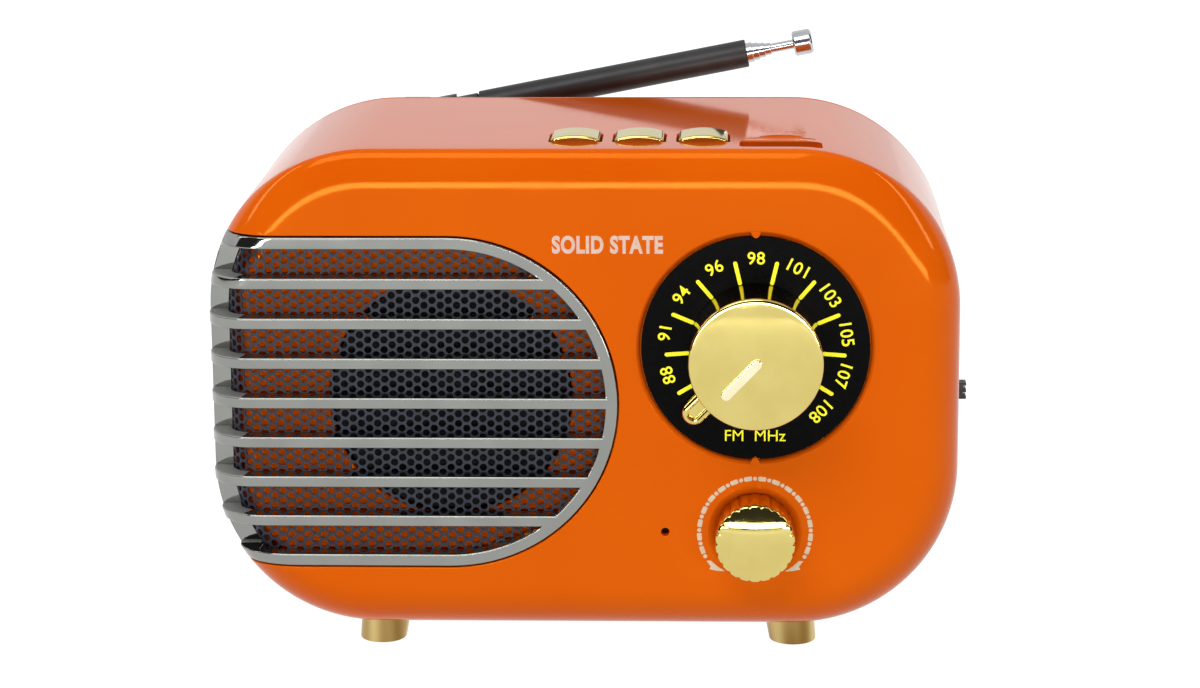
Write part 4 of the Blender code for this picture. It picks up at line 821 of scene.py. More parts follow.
def front_cabinet():
    rows = front_rows(0.0, SEAM_Y - SEAM_EDGE, 20)
    rows += [(SEAM_Y - SEAM_EDGE * 0.3, SEAM_EDGE * 0.3), (SEAM_Y, SEAM_EDGE)]
    cabinet = block(rows, flatter=True)
    hollow = block(front_rows(WALL, SEAM_Y + OVER, 5), 10)
    hollow = combine(hollow, [grille_block(GRILLE_RADIUS + POCKET_WALL, -OVER,
                                           POCKET_WALL_BACK_Y)])
    deep = block(front_rows(BAFFLE_BACK, SEAM_Y + OVER, 3), 10)
    pocket = wrapped_plate(GRILLE_RADIUS, BAND_BACK_Y + GAP).solid(flare(0.00035, BAFFLE_INSET))
    cabinet = combine(cabinet, [deep, hollow, pocket])
    bosses = [box((PORT_X - USB_BOSS_HALF_WIDTH, USB_BOSS_YS[0], BODY_TOP_Z - USB_BOSS_DROP),
                  (PORT_X + USB_BOSS_HALF_WIDTH, USB_BOSS_YS[1], INNER_TOP_Z + GAP))]
    for place, radius, back, steps in ((VOLUME_PLACE, *VOLUME_BOSS, 32),
                                       (DIAL_PLACE, *DIAL_BOSS, 48)):
        bosses.append(turned([(0.0, -BOSS_START), (radius, -BOSS_START), (radius, -back),
                              (0.0, -back)], place, steps))
    cabinet = combine(cabinet, bosses, "UNION")
    cutters = [
        mouth_slab(circle(SPEAKER_OPENING_RADIUS, 96, (GRILLE_X, GRILLE_Z)), 0.0006, 0.014,
                   Matrix.Translation((0, BAFFLE_INSET, 0)) @ FRONT, 0.0004),
        turned([(0.0, 0.003), (DIAL_RADIUS + 0.0055, 0.003), (DIAL_RADIUS + 0.0011, 0.00012),
                (DIAL_RADIUS + 0.0007, -0.0001), (DIAL_RADIUS + 0.0003, -0.0005),
                (DIAL_RADIUS, -0.0011), (DIAL_RADIUS, -DIAL_POCKET_DEPTH),
                (0.0, -DIAL_POCKET_DEPTH)], DIAL_PLACE, 128),
        mouth_slab(circle(MICROPHONE_RADIUS, 24, (MICROPHONE_X, VOLUME_Z)), 0.00018,
                   WALL + 0.001, FRONT),
        turned([(0.0, 0.003), (DISH_RADIUS + 0.0042, 0.003), (DISH_RADIUS + 0.0006, 0.00006),
                (DISH_RADIUS + 0.0002, -0.0001), (DISH_RADIUS - 0.0002, -0.0004),
                (DISH_FLOOR_RADIUS + 0.0003, -DISH_DEPTH + 0.0003),
                (DISH_FLOOR_RADIUS - 0.0001, -DISH_DEPTH + 0.0001),
                (DISH_FLOOR_RADIUS - 0.0006, -DISH_DEPTH), (0.0, -DISH_DEPTH)],
               VOLUME_PLACE, 96),
    ]
    for place, radius in ((DIAL_PLACE, DIAL_BORE_RADIUS), (VOLUME_PLACE, VOLUME_BORE_RADIUS)):
        cutters.append(straight(circle(radius, 30), OVER, -KNOB_BORE_BACK, place))
    for x in KEY_XS:
        hole = rounded_rectangle(KEY_WIDTH + 2 * KEY_CLEARANCE, KEY_LENGTH + 2 * KEY_CLEARANCE,
                                 0.0011, 5)
        cutters.append(mouth_slab(hole, MOUTH_EDGE, WALL + 0.002, top_matrix(x, KEY_Y)))
    slit = rounded_rectangle(CARD_SLIT_WIDTH, CARD_SLIT_GAP, 0.00045, 4)
    cutters.append(mouth_slab(slit, FINE_EDGE, WALL + 0.002, top_matrix(PORT_X, CARD_SLIT_Y)))
    width, length, drop = USB_RECESS
    recess = rounded_rectangle(width, length, 0.0012, 5)
    cutters.append(mouth_slab(recess, 0.0004, drop, top_matrix(PORT_X, USB_Y)))
    socket = rounded_rectangle(USB_SHELL[0] + 2 * GAP, USB_SHELL[1] + 2 * GAP, 0.0004, 2)
    cutters.append(straight(socket, -drop + 0.001, -0.012, top_matrix(PORT_X, USB_Y)))
    scoop = bmesh.new()
    bmesh.ops.create_uvsphere(scoop, u_segments=40, v_segments=24, radius=1.0, matrix=(
        Matrix.Translation((PORT_X, CARD_SLIT_Y + SCOOP_OFFSET, BODY_TOP_Z))
        @ Matrix.Diagonal((*SCOOP_HALF_SIZES, 1.0))))
    cutters.append(scoop)
    half_y = SWITCH_KNOB[0] / 2 + SWITCH_CLEARANCE
    low = SWITCH_Z - SWITCH_KNOB[1] / 2 - SWITCH_CLEARANCE
    high = SWITCH_Z + SWITCH_KNOB[1] / 2 + SWITCH_TRAVEL + SWITCH_CLEARANCE
    side = Matrix.Translation((BODY_WIDTH / 2, SWITCH_Y, (low + high) / 2))
    side = side @ Matrix.Rotation(math.pi / 2, 4, "Y")
    cutters.append(mouth_slab(rounded_rectangle(high - low, 2 * half_y, 0.0005, 4), FINE_EDGE,
                              WALL + 0.002, side))
    cabinet = combine(cabinet, cutters)
    piece("front_cabinet_shell", tidy_mesh(cabinet), ORANGE, "cabinet", ["front_cabinet"])


def rear_cover():
    rows = [(SEAM_Y + GAP, SEAM_EDGE), (SEAM_Y + GAP + SEAM_EDGE * 0.3, SEAM_EDGE * 0.3),
            (SEAM_Y + GAP + SEAM_EDGE, 0.0)]
    rows += [(BODY_DEPTH - depth, side) for depth, side in quarter(REAR_FILLET, 10)]
    cover = block(rows)
    tray = block([(SEAM_Y - OVER, WALL), (BODY_DEPTH - WALL, WALL)], 10)
    cover = combine(cover, [tray])
    outer = WALL + GAP
    inner = outer + LIP_THICKNESS
    lip = block([(LIP_START_Y, outer), (BODY_DEPTH - WALL / 2, outer)], 10)
    lip = combine(lip, [block([(LIP_START_Y - 0.007, inner), (BODY_DEPTH - WALL * 0.75, inner)],
                              10)])
    cover = combine(cover, [lip], "UNION")
    back = behind(BODY_DEPTH)
    cutters = []
    for _, x, z in post_places():
        cutters.append(straight(circle(SCREW_HOLE_RADIUS, 20, (-x, z)), OVER, -0.0048, back))
        cutters.append(mouth_slab(circle(SCREW_HEAD_RADIUS + GAP, 40, (-x, z)), MOUTH_EDGE,
                                  SCREW_SINK, back))
    cutters.append(straight(circle(PIVOT_HOLE_RADIUS, 24, (-PIVOT.x, PIVOT.z)), OVER, -0.007,
                            back))
    cutters.append(mouth_slab(circle(JACK_RADIUS + SWITCH_CLEARANCE, 48, (-JACK_X, BACK_PORT_Z)),
                              MOUTH_EDGE, BACK_OPENING_DEPTH, back))
    width, height, corner = CHARGE_OPENING
    cutters.append(mouth_slab(rounded_rectangle(width, height, corner, 8,
                                                (-CHARGE_X, BACK_PORT_Z)),
                              MOUTH_EDGE, BACK_OPENING_DEPTH, back))
    for i in range(VENT_COUNT):
        x = GRILLE_X + (i - (VENT_COUNT - 1) / 2) * VENT_PITCH
        cutters.append(mouth_slab(rounded_rectangle(VENT_WIDTH, VENT_HEIGHT, 0.00095, 6,
                                                    (-x, GRILLE_Z)), MOUTH_EDGE, 0.0052, back))
    cover = combine(cover, cutters)
    piece("rear_cover_shell", tidy_mesh(cover), ORANGE, "cabinet", ["rear_cover"])


def pan_screw(name, node, matrix, radius, height, shank, length):
    """A pan-head screw with a cross recess, drawn with its head towards +Z."""
    profile = [(0.0, height), (radius * 0.72, height, radius * 0.2),
               (radius, height * 0.42, radius * 0.12), (radius, 0.0, 0.0001), (shank, 0.0),
               (shank, -length), (0.0, -length - shank * 0.6)]
    head = lathe(rounded_corners(profile, 4), 40)
    arm, wide, deep = radius * 0.62, radius * 0.2, height * 0.7
    cross = [box((-arm, -wide / 2, height - deep), (arm, wide / 2, height + 0.001)),
             box((-wide / 2, -arm, height - deep), (wide / 2, arm, height + 0.001))]
    head = combine(head, cross)
    piece(name, moved(head, matrix), STEEL, "cabinet", [node])


# Grille and mesh

def speaker_grille():
    top = (SLOT_COUNT - 1) / 2 * BAR_PITCH + SLOT_HEIGHT / 2
    slots = [(top - i * BAR_PITCH, top - i * BAR_PITCH - SLOT_HEIGHT) for i in range(SLOT_COUNT)]
    plate = wrapped_plate(GRILLE_RADIUS - GAP, BAND_BACK_Y, slots, GRILLE_WINDOW_RADIUS,
                          BAND_FRONT_Y, 2.0)
    levels = quarter(GRILLE_EDGE, 4) + [(0.0, GRILLE_DEPTH)]
    bars = piece("speaker_grille_bars", plate.solid(levels), GUNMETAL, "cabinet",
                 ["speaker_grille"])
    bars.data.materials.append(LEDGE_SATIN.made)
    for face in bars.data.polygons:
        if face.normal.z > LEDGE_NORMAL and face.center.x < LEDGE_END_X:
            face.material_index = 1


HOLE_PITCH = 0.00215
HOLE_RADIUS = 0.00081
HOLE_SQUEEZE = 0.93


def mesh_screen():
    """Perforated sheet with real holes, on a hexagonal lattice that wraps with the front."""
    column_step = HOLE_PITCH * math.sqrt(3) / 2 * HOLE_SQUEEZE
    flat_left = -BODY_WIDTH / 2 + FRONT_FILLET
    bend = FRONT_FILLET - MESH_DEPTH
    quarter = bend * math.pi / 2
    limit = GRILLE_RADIUS - 2 * GAP

    def position(u, z, depth):
        start = outline_x(z, FRONT_FILLET)
        past = start - u
        if past <= 0.0:
            return Vector((u, depth, z))
        radius = FRONT_FILLET - depth
        if past < quarter:
            angle = past / bend
            return Vector((outline_x(z, depth + radius * (1 - math.sin(angle))),
                           depth + radius * (1 - math.cos(angle)), z))
        return Vector((outline_x(z, depth), FRONT_FILLET + past - quarter, z))

    bm = bmesh.new()
    made = {}

    def vertex(u, z, back):
        key = (round(u * 1e7), round(z * 1e7), back)
        if key not in made:
            made[key] = bm.verts.new(position(u, z, MESH_DEPTH + MESH_THICKNESS * back))
        return made[key]

    first = int((flat_left - quarter - 0.006 - GRILLE_X) / column_step) - 6
    last = int(limit / column_step) + 1
    half_rows = int(limit / HOLE_PITCH) + 1
    kept = set()
    for column in range(first, last + 1):
        for row in range(-half_rows, half_rows + 1):
            u = GRILLE_X + column * column_step
            z = GRILLE_Z + (row + 0.5 * (column % 2)) * HOLE_PITCH
            reach = math.hypot(max(u - GRILLE_X, 0.0), z - GRILLE_Z)
            start = outline_x(z, FRONT_FILLET)
            end = start - quarter - (BAND_BACK_Y - GAP - FRONT_FILLET)
            if reach < limit - HOLE_PITCH * 0.58 and u > end + HOLE_PITCH * 0.6:
                kept.add((column, row))
    edges = {}
    for column, row in sorted(kept):
        u = GRILLE_X + column * column_step
        z = GRILLE_Z + (row + 0.5 * (column % 2)) * HOLE_PITCH
        outer, inner = [], []
        for i in range(12):
            angle = math.radians(30 * i)
            reach = HOLE_PITCH / math.sqrt(3) if i % 2 == 0 else HOLE_PITCH / 2
            outer.append((u + reach * HOLE_SQUEEZE * math.cos(angle), z + reach * math.sin(angle)))
            inner.append((u + HOLE_RADIUS * math.cos(angle), z + HOLE_RADIUS * math.sin(angle)))
        for i in range(12):
            j = (i + 1) % 12
            for back in (0, 1):
                bm.faces.new((vertex(*outer[i], back), vertex(*outer[j], back),
                              vertex(*inner[j], back), vertex(*inner[i], back)))
            bm.faces.new((vertex(*inner[i], 0), vertex(*inner[j], 0), vertex(*inner[j], 1),
                          vertex(*inner[i], 1)))
            ends = [tuple(round(value * 1e7) for value in outer[k]) for k in (i, j)]
            key = tuple(sorted(ends))
            edges.setdefault(key, []).append((outer[i], outer[j]))
    for uses in edges.values():
        if len(uses) == 1:
            one, two = uses[0]
            bm.faces.new((vertex(*one, 0), vertex(*two, 0), vertex(*two, 1), vertex(*one, 1)))
    piece("mesh_perforated", bm, MESH_PAINT, "cabinet", ["mesh_screen"])


# Dial, knobs and their printed marks

PRINT_RISE = 0.00004


def drawn_text(words, height, width=None, heavy=0.02, spacing=1.0):
    """Printed words as a thin closed mesh in the XY plane, centred on the origin."""
    curve = bpy.data.curves.new("words", "FONT")
    curve.body = words
    curve.size = 1.0
    curve.offset = heavy
    curve.extrude = 0.01
    curve.resolution_u = 6
    curve.space_character = spacing
    held = bpy.data.objects.new("words", curve)
    bpy.context.scene.collection.objects.link(held)
    graph = bpy.context.evaluated_depsgraph_get()
    mesh = bpy.data.meshes.new_from_object(held.evaluated_get(graph))
    bpy.data.objects.remove(held, do_unlink=True)
    bm = bmesh.new()
    bm.from_mesh(mesh)
    bmesh.ops.remove_doubles(bm, verts=bm.verts, dist=0.0001)
    low = [min(vertex.co[axis] for vertex in bm.verts) for axis in range(3)]
    high = [max(vertex.co[axis] for vertex in bm.verts) for axis in range(3)]
    scale = height / (high[1] - low[1])
    across = width / (high[0] - low[0]) if width else scale
    centre = Matrix.Translation([-(a + b) / 2 for a, b in zip(low, high)])
    size = Matrix.Diagonal((across, scale, PRINT_RISE / 0.02, 1.0))
    return moved(bm, size @ centre)


def printed(bm, x, z, y, turn=0.0, reach=0.0, angle=0.0):
    """Lay a print on a face that looks out of the front."""
    place = facing_front(x, z, y) @ Matrix.Rotation(angle, 4, "Z")
    place = place @ Matrix.Translation((reach, 0.0, 0.0)) @ Matrix.Rotation(turn, 4, "Z")
    return moved(bm, place)


DIAL_NUMBERS = (88, 91, 94, 96, 98, 101, 103, 105, 107, 108)
DIAL_STEP = math.radians(-26.93)
FIRST_TICK = math.radians(211)
FIRST_NUMBER = math.radians(197.5)
TICK_START = 0.0140
TICK_END = 0.0192
TICK_WIDTH = 0.00085
NUMBER_RADIUS = 0.0194
NUMBER_HEIGHT = 0.0027
UNIT_RADIUS = 0.0189
UNIT_HEIGHT = 0.0024
NOTCH_DEPTH = 0.0007
NOTCH_HALF_ANGLE = 0.045


def dial():
    outline = []
    radius = DIAL_RADIUS - GAP
    for i in range(144):
        angle = 2 * math.pi * i / 144
        off = min(abs(angle - math.pi / 2), abs(angle - 3 * math.pi / 2))
        reach = radius - NOTCH_DEPTH * max(0.0, math.cos(min(off / NOTCH_HALF_ANGLE, 1.0)
                                                            * math.pi / 2))
        outline.append((reach * math.cos(angle), reach * math.sin(angle)))
    face = -DIAL_FACE_Y
    levels = [(face, 0.00012), (face - 0.00004, 0.00004), (face - 0.00012, 0.0),
              (face - DIAL_THICKNESS, 0.0)]
    plate = slab(outline, levels, DIAL_PLACE)
    hole = straight(circle(0.005, 48), OVER, -OVER, DIAL_PLACE)
    piece("dial_face", combine(plate, [hole]), DIAL_BLACK, "cabinet", ["dial_plate"])
    tabs = []
    for side in (1, -1):
        tab = [(-0.0009, 0.0006), (-0.0006, -0.0001), (-0.0003, -0.00045), (0.0, -0.00055),
               (0.0003, -0.00045), (0.0006, -0.0001), (0.0009, 0.0006)][::-1]
        matrix = DIAL_PLACE @ Matrix.Translation((0, side * DIAL_RADIUS, 0))
        if side < 0:
            matrix = matrix @ Matrix.Rotation(math.pi, 4, "Z")
        tabs.append(slab(tab, [(-0.0001, 0.00015), (-0.0002, 0.0), (-DIAL_POCKET_DEPTH, 0.0)],
                         matrix))
    piece("dial_tabs", join(*tabs), ORANGE, "cabinet", ())
    marks = []
    for i, number in enumerate(DIAL_NUMBERS):
        tick = straight(stadium(TICK_START, TICK_END, TICK_WIDTH, FIRST_TICK + i * DIAL_STEP, 8),
                        PRINT_RISE / 2, -PRINT_RISE / 2, facing_front(DIAL_X, DIAL_Z, DIAL_FACE_Y))
        words = printed(drawn_text(str(number), NUMBER_HEIGHT, heavy=0.012, spacing=1.06),
                        DIAL_X, DIAL_Z, DIAL_FACE_Y, -math.pi / 2, NUMBER_RADIUS,
                        FIRST_NUMBER + i * DIAL_STEP)
        marks += [tick, words]
    marks.append(printed(drawn_text("FM  MHz", UNIT_HEIGHT, heavy=0.0), DIAL_X, DIAL_Z,
                         DIAL_FACE_Y, math.pi / 2, UNIT_RADIUS, -math.pi / 2))
    piece("dial_print", join(*marks), PAINTED_GLOW_YELLOW_INK, "cabinet", weighted=False)


def crown_points(edge, crown, reach, steps):
    return [(reach * i / steps, edge + crown * (1 - (i / steps) ** 2)) for i in range(steps)]


SIDE_NORMAL = 0.2


def darken_sides(made):
    """The turned side walls are a little less polished than the face, and their gold is painted
    darker: painted shade for the dark dial they face.
    """
    made.data.materials.append(KNOB_WALL_GOLD_PAINTED_SHADE.made)
    for face in made.data.polygons:
        if abs(face.normal.y) < SIDE_NORMAL:
            face.material_index = len(made.data.materials) - 1


def tuning_knob():
    profile = crown_points(KNOB_EDGE, KNOB_CROWN, KNOB_RADIUS, 14)
    profile += [(KNOB_RADIUS, KNOB_EDGE - 0.00005, 0.0006), (KNOB_RADIUS, 0.0004, 0.0003),
                (0.0, 0.0004)]
    cap = piece("tuning_knob_cap", turned(profile, DIAL_PLACE, 192, 7), GOLD, "tuning_knob",
                ["tuning_knob"])
    darken_sides(cap)
    top = KNOB_EDGE + KNOB_CROWN + 0.0006
    bar = slab(stadium(-0.0014, 0.0099, 0.0022, POINTER_ANGLE, 16),
               edge_levels(top, KNOB_EDGE - 0.001, 0.00028, steps=4), DIAL_PLACE)
    piece("pointer_bar", bar, PALE_GOLD, "tuning_knob", ())
    outer = slab(stadium(KNOB_RADIUS * 0.6, 0.0212, 0.0054, POINTER_ANGLE, 24),
                 edge_levels(EAR_TOP, EAR_BOTTOM, 0.0011, 0.0003, 6), DIAL_PLACE)
    inner = mouth_slab(stadium(KNOB_RADIUS * 0.75, 0.0197, 0.0021, POINTER_ANGLE, 20), 0.0008,
                       0.0011, DIAL_PLACE @ Matrix.Translation((0, 0, EAR_TOP)))
    piece("pointer_ear", combine(outer, [inner]), GOLD, "tuning_knob", ())


FLUTES = 22
FLUTE_DEPTH = 0.00026
FLUTE_SHARPNESS = 5
FLUTED_RIM = 0.14                # share of the radius that the flutes take up


def volume_knob():
    profile = crown_points(VOLUME_EDGE, VOLUME_CROWN, VOLUME_RADIUS, 12)
    profile += [(VOLUME_RADIUS, VOLUME_EDGE - 0.00005, 0.0008), (VOLUME_RADIUS, -0.0003, 0.0002),
                (0.005, -0.0003), (0.005, -DISH_DEPTH + GAP), (0.0, -DISH_DEPTH + GAP)]

    def fluted(radius, height, angle):
        share = min(max((radius / VOLUME_RADIUS - 1 + FLUTED_RIM) / FLUTED_RIM, 0.0), 1.0)
        groove = (0.5 + 0.5 * math.cos(FLUTES * angle)) ** FLUTE_SHARPNESS
        return radius - FLUTE_DEPTH * groove * share * share * (3 - 2 * share)

    piece("volume_knob_cap", turned(profile, VOLUME_PLACE, FLUTES * 16, 6, radius_at=fluted),
          GOLD, "volume_knob", ["volume_knob"])


RING_RADIUS = 0.01186
RING_STEP = 14.6
RING_DOTS = 8
DOT_RADIUS = 0.00044
DASH_SIZE = (0.0017, 0.00098)


def volume_ring():
    def at(angle, reach):
        spoke = math.radians(angle)
        return (reach * math.cos(spoke), reach * math.sin(spoke))

    marks = []
    for k in range(-RING_DOTS, RING_DOTS + 1):
        dot = circle(DOT_RADIUS, 20, at(90 - RING_STEP * k, RING_RADIUS))
        marks.append(straight(dot, PRINT_RISE, -PRINT_RISE, VOLUME_PLACE))
    for k in range(-RING_DOTS, RING_DOTS):
        angle = math.radians(90 - RING_STEP * (k + 0.5))
        dash = rounded_rectangle(*DASH_SIZE, 0.00026, 4)
        turn = Matrix.Rotation(angle, 4, "Z") @ Matrix.Translation((RING_RADIUS, 0, 0))
        turn = VOLUME_PLACE @ turn @ Matrix.Rotation(math.pi / 2, 4, "Z")
        marks.append(straight(dash, PRINT_RISE, -PRINT_RISE, turn))
    arrow = [at(-31.5, 0.0121), at(-33.8, 0.0113), at(-40.0, 0.0111), at(-47.0, 0.0109),
             at(-53.8, 0.0107), at(-47.0, 0.0117), at(-40.2, 0.0127), at(-39.0, 0.0121)]
    for mirror in (1, -1):
        points = [(mirror * x, z) for x, z in arrow]
        if mirror > 0:
            points.reverse()
        marks.append(straight(points, PRINT_RISE, -PRINT_RISE, VOLUME_PLACE))
    piece("volume_ring_print", join(*marks), CREAM_PRINT, "cabinet", weighted=False)


WORDS_X = 0.00555
WORDS_Z = 0.09145
WORDS_WIDTH = 0.0233
WORDS_HEIGHT = 0.0039


def front_words():
    words = drawn_text("SOLID STATE", WORDS_HEIGHT, WORDS_WIDTH, heavy=0.045, spacing=1.1)
    piece("front_words", printed(words, WORDS_X, WORDS_Z, 0.0), PALE_PRINT, "cabinet",
          weighted=False)


# Top: keys, card slot, socket

def keys():
    half_x, half_y = KEY_WIDTH / 2, KEY_LENGTH / 2
    low = -WALL - 0.001
    outline = rounded_rectangle(KEY_WIDTH, KEY_LENGTH, 0.0009, 6)
    for number, x in enumerate(KEY_XS, start=1):
        cap = slab(outline, edge_levels(0.0, low, 0.0005, steps=5)[::-1], UP)
        for i in range(1, KEY_CUTS):
            cut = -half_x + KEY_WIDTH * i / KEY_CUTS
            bmesh.ops.bisect_plane(cap, geom=cap.verts[:] + cap.edges[:] + cap.faces[:],
                                   plane_co=(cut, 0, 0), plane_no=(1, 0, 0), dist=1e-7)
        for vertex in cap.verts:
            if vertex.co.z > low / 2:
                vertex.co.z += KEY_PROUD - KEY_EDGE_DROP * (vertex.co.x / half_x) ** 2
        flange = box((-half_x - KEY_FLANGE, -half_y - KEY_FLANGE, -WALL - GAP - 0.0013),
                     (half_x + KEY_FLANGE, half_y + KEY_FLANGE, -WALL - GAP - 0.0001),
                     FINE_EDGE)
        stem_low = KEY_STEM_Z - BODY_TOP_Z
        stem = slab(circle(KEY_STEM_RADIUS, 24), [(-WALL - GAP - 0.0005, 0.0),
                                                  (stem_low + FINE_EDGE, 0.0),
                                                  (stem_low, FINE_EDGE)], UP)
        made = moved(join(cap, flange, stem), top_matrix(x, KEY_Y))
        piece(f"key_cap_{number}", made, GOLD, f"key_{number}", [f"key_{number}"])


def usb_shell():
    width, depth = USB_SHELL
    low, high = USB_BOTTOM_Z - BODY_TOP_Z, -USB_RECESS[2] - GAP
    outer = rounded_rectangle(width, depth, 0.0006, 5)
    inner = shifted_in(outer, 0.0003)
    loops = [[(*point, low) for point in inner], [(*point, low) for point in outer],
             [(*point, high - 0.00008) for point in outer],
             [(*point, high) for point in shifted_in(outer, 0.00008)],
             [(*point, high) for point in shifted_in(outer, 0.00022)],
             [(*point, high - 0.00008) for point in inner],
             [(*point, low) for point in inner]]
    shell = tidy_mesh(loft(loops, False), 1e-6)
    piece("usb_shell", moved(shell, top_matrix(PORT_X, USB_Y)), CHROME, "cabinet",
          ["usb_socket"])
    contacts = []
    for i in range(4):
        x = (i - 1.5) * 0.0025
        contacts.append(box((x - 0.0005, -0.00036, high - 0.0075), (x + 0.0005, -0.0003,
                                                                   high - 0.0012), 0.00001, 1))
    piece("usb_contacts", moved(join(*contacts), top_matrix(PORT_X, USB_Y)), GOLD, "cabinet")


PICTOGRAMS_Y = 0.0239


def pictograms():
    """A plain card and a plain plug beside the slot and the socket."""
    levels = [(PRINT_RISE, 0.0), (-PRINT_RISE, 0.0)]
    place = top_matrix(PORT_X, PICTOGRAMS_Y)
    marks = []
    card = rounded_rectangle(0.0021, 0.0026, 0.0003, 3)
    frame_mark = combine(slab(card, levels, UP),
                         [straight(shifted_in(card, 0.0004), 0.001, -0.001, UP)])
    marks.append(moved(frame_mark, place @ Matrix.Translation((-0.0032, 0, 0))))
    for x in (-0.0037, -0.0031, -0.0025):
        marks.append(slab(rounded_rectangle(0.0003, 0.0008, 0.0001, 2, (x, 0.0004)), levels,
                          place))
    marks.append(slab(stadium(-0.0021, 0.0019, 0.00036, 0.0, 6), levels,
                      place @ Matrix.Translation((0.003, 0, 0))))
    marks.append(slab(circle(0.0005, 18, (0.0007, 0.0)), levels, place))
    marks.append(slab([(0.0056, 0.0), (0.0047, 0.0005), (0.0047, -0.0005)], levels, place))
    for side, start in ((1, 0.0019), (-1, 0.0027)):
        arm = [(start, 0.0), (start + 0.0003, 0.0), (start + 0.0011, side * 0.0009),
               (start + 0.0017, side * 0.0009), (start + 0.0017, side * 0.00115),
               (start + 0.00095, side * 0.00115)]
        if side < 0:
            arm.reverse()
        marks.append(slab(arm, levels, place))
    piece("port_pictograms", join(*marks), PALE_PRINT, "cabinet", weighted=False)


# Side, feet and back

def slide_switch():
    side = BODY_WIDTH / 2
    half_y, half_z = SWITCH_KNOB[0] / 2, SWITCH_KNOB[1] / 2
    parts = [box((side - SWITCH_ROOT, SWITCH_Y - half_y, SWITCH_Z - half_z),
                 (side + SWITCH_PROUD - 0.0007, SWITCH_Y + half_y, SWITCH_Z + half_z), FINE_EDGE)]
    rib = SWITCH_KNOB[1] / 5
    for i in (-2, 0, 2):
        middle = SWITCH_Z + i * rib
        parts.append(box((side + SWITCH_PROUD - 0.0012, SWITCH_Y - half_y, middle - rib / 2),
                         (side + SWITCH_PROUD, SWITCH_Y + half_y, middle + rib / 2),
                         FINE_EDGE))
    piece("switch_thumb_piece", join(*parts), BLACK_PLASTIC, "switch_knob", ["switch_knob"])


def feet():
    top = FOOT_HEIGHT - GAP
    stud_top = FOOT_HEIGHT + WALL + 0.0015
    cup = [(0.0, 0.0), (FOOT_LOW_RADIUS, 0.0, 0.0004), (FOOT_TOP_RADIUS, top, 0.0002), (0.0, top)]
    stud = [(0.0, top - 0.0006), (FOOT_STUD_RADIUS, top - 0.0006), (FOOT_STUD_RADIUS, stud_top),
            (0.0, stud_top)]
    for row, y in zip(("front", "rear"), FOOT_YS):
        for side, sign in (("left", -1), ("right", 1)):
            lean = Matrix.Identity(4)
            lean[0][2] = -sign * FOOT_SPLAY / top
            lean[0][3] = sign * FOOT_SPLAY
            place = Matrix.Translation((sign * FOOT_X, y, 0.0))
            made = join(turned(cup, place @ lean, 96), turned(stud, place, 32))
            piece(f"foot_{row}_{side}_turned", made, FEET_GOLD_PAINTED_REFLECTION, "cabinet",
                  [f"foot_{row}_{side}"])


def back_pieces():
    for place, x, z in post_places():
        pan_screw(f"cover_screw_{place}_cross", f"cover_screw_{place}",
                  facing_back(x, z, BODY_DEPTH - SCREW_SINK + GAP), SCREW_HEAD_RADIUS, 0.0012,
                  SCREW_SHANK_RADIUS, 0.014)
    depth = BODY_DEPTH - 0.0004
    back = behind(depth)
    jack = slab(circle(JACK_RADIUS, 48, (-JACK_X, BACK_PORT_Z)),
                edge_levels(0.0, 0.064 - depth, FINE_EDGE), back)
    bore = mouth_slab(circle(JACK_BORE_RADIUS, 40, (-JACK_X, BACK_PORT_Z)), MOUTH_EDGE, 0.0103,
                      back)
    piece("audio_jack_socket", combine(jack, [bore]), BLACK_PLASTIC, "cabinet", ["audio_jack"])
    width, height, corner = CHARGE_SHELL
    shell = rounded_rectangle(width, height, corner, 10, (-CHARGE_X, BACK_PORT_Z))
    inner = shifted_in(shell, 0.0004)
    body = slab(shell, edge_levels(0.0, 0.0665 - depth, 0.00012), back)
    body = combine(body, [straight(inner, 0.001, 0.069 - depth, back)])
    piece("charge_port_shell", body, STEEL, "cabinet", ["charge_port"])
    width, height, corner = CHARGE_TONGUE
    tongue = slab(rounded_rectangle(width, height, corner, 3, (-CHARGE_X, BACK_PORT_Z)),
                  edge_levels(-0.0009, 0.069 - depth, 0.0001), back)
    piece("charge_port_tongue", tongue, BLACK_PLASTIC, "cabinet")


# Antenna

ALONG = Matrix.Translation(PIVOT) @ Matrix.Rotation(math.pi / 2 - ANTENNA_LIFT, 4, "Y")


def tube(name, body, bore, outer, near, far, edge, finish, steps=64):
    profile = [(bore, far - edge * 0.4), (bore + edge * 0.3, far), (outer, far, edge),
               (outer, near, edge * 0.5), (bore, near)]
    made = turned(profile, ALONG, steps, 5, closed=True)
    piece(name + "_tube", made, finish, body, [name])


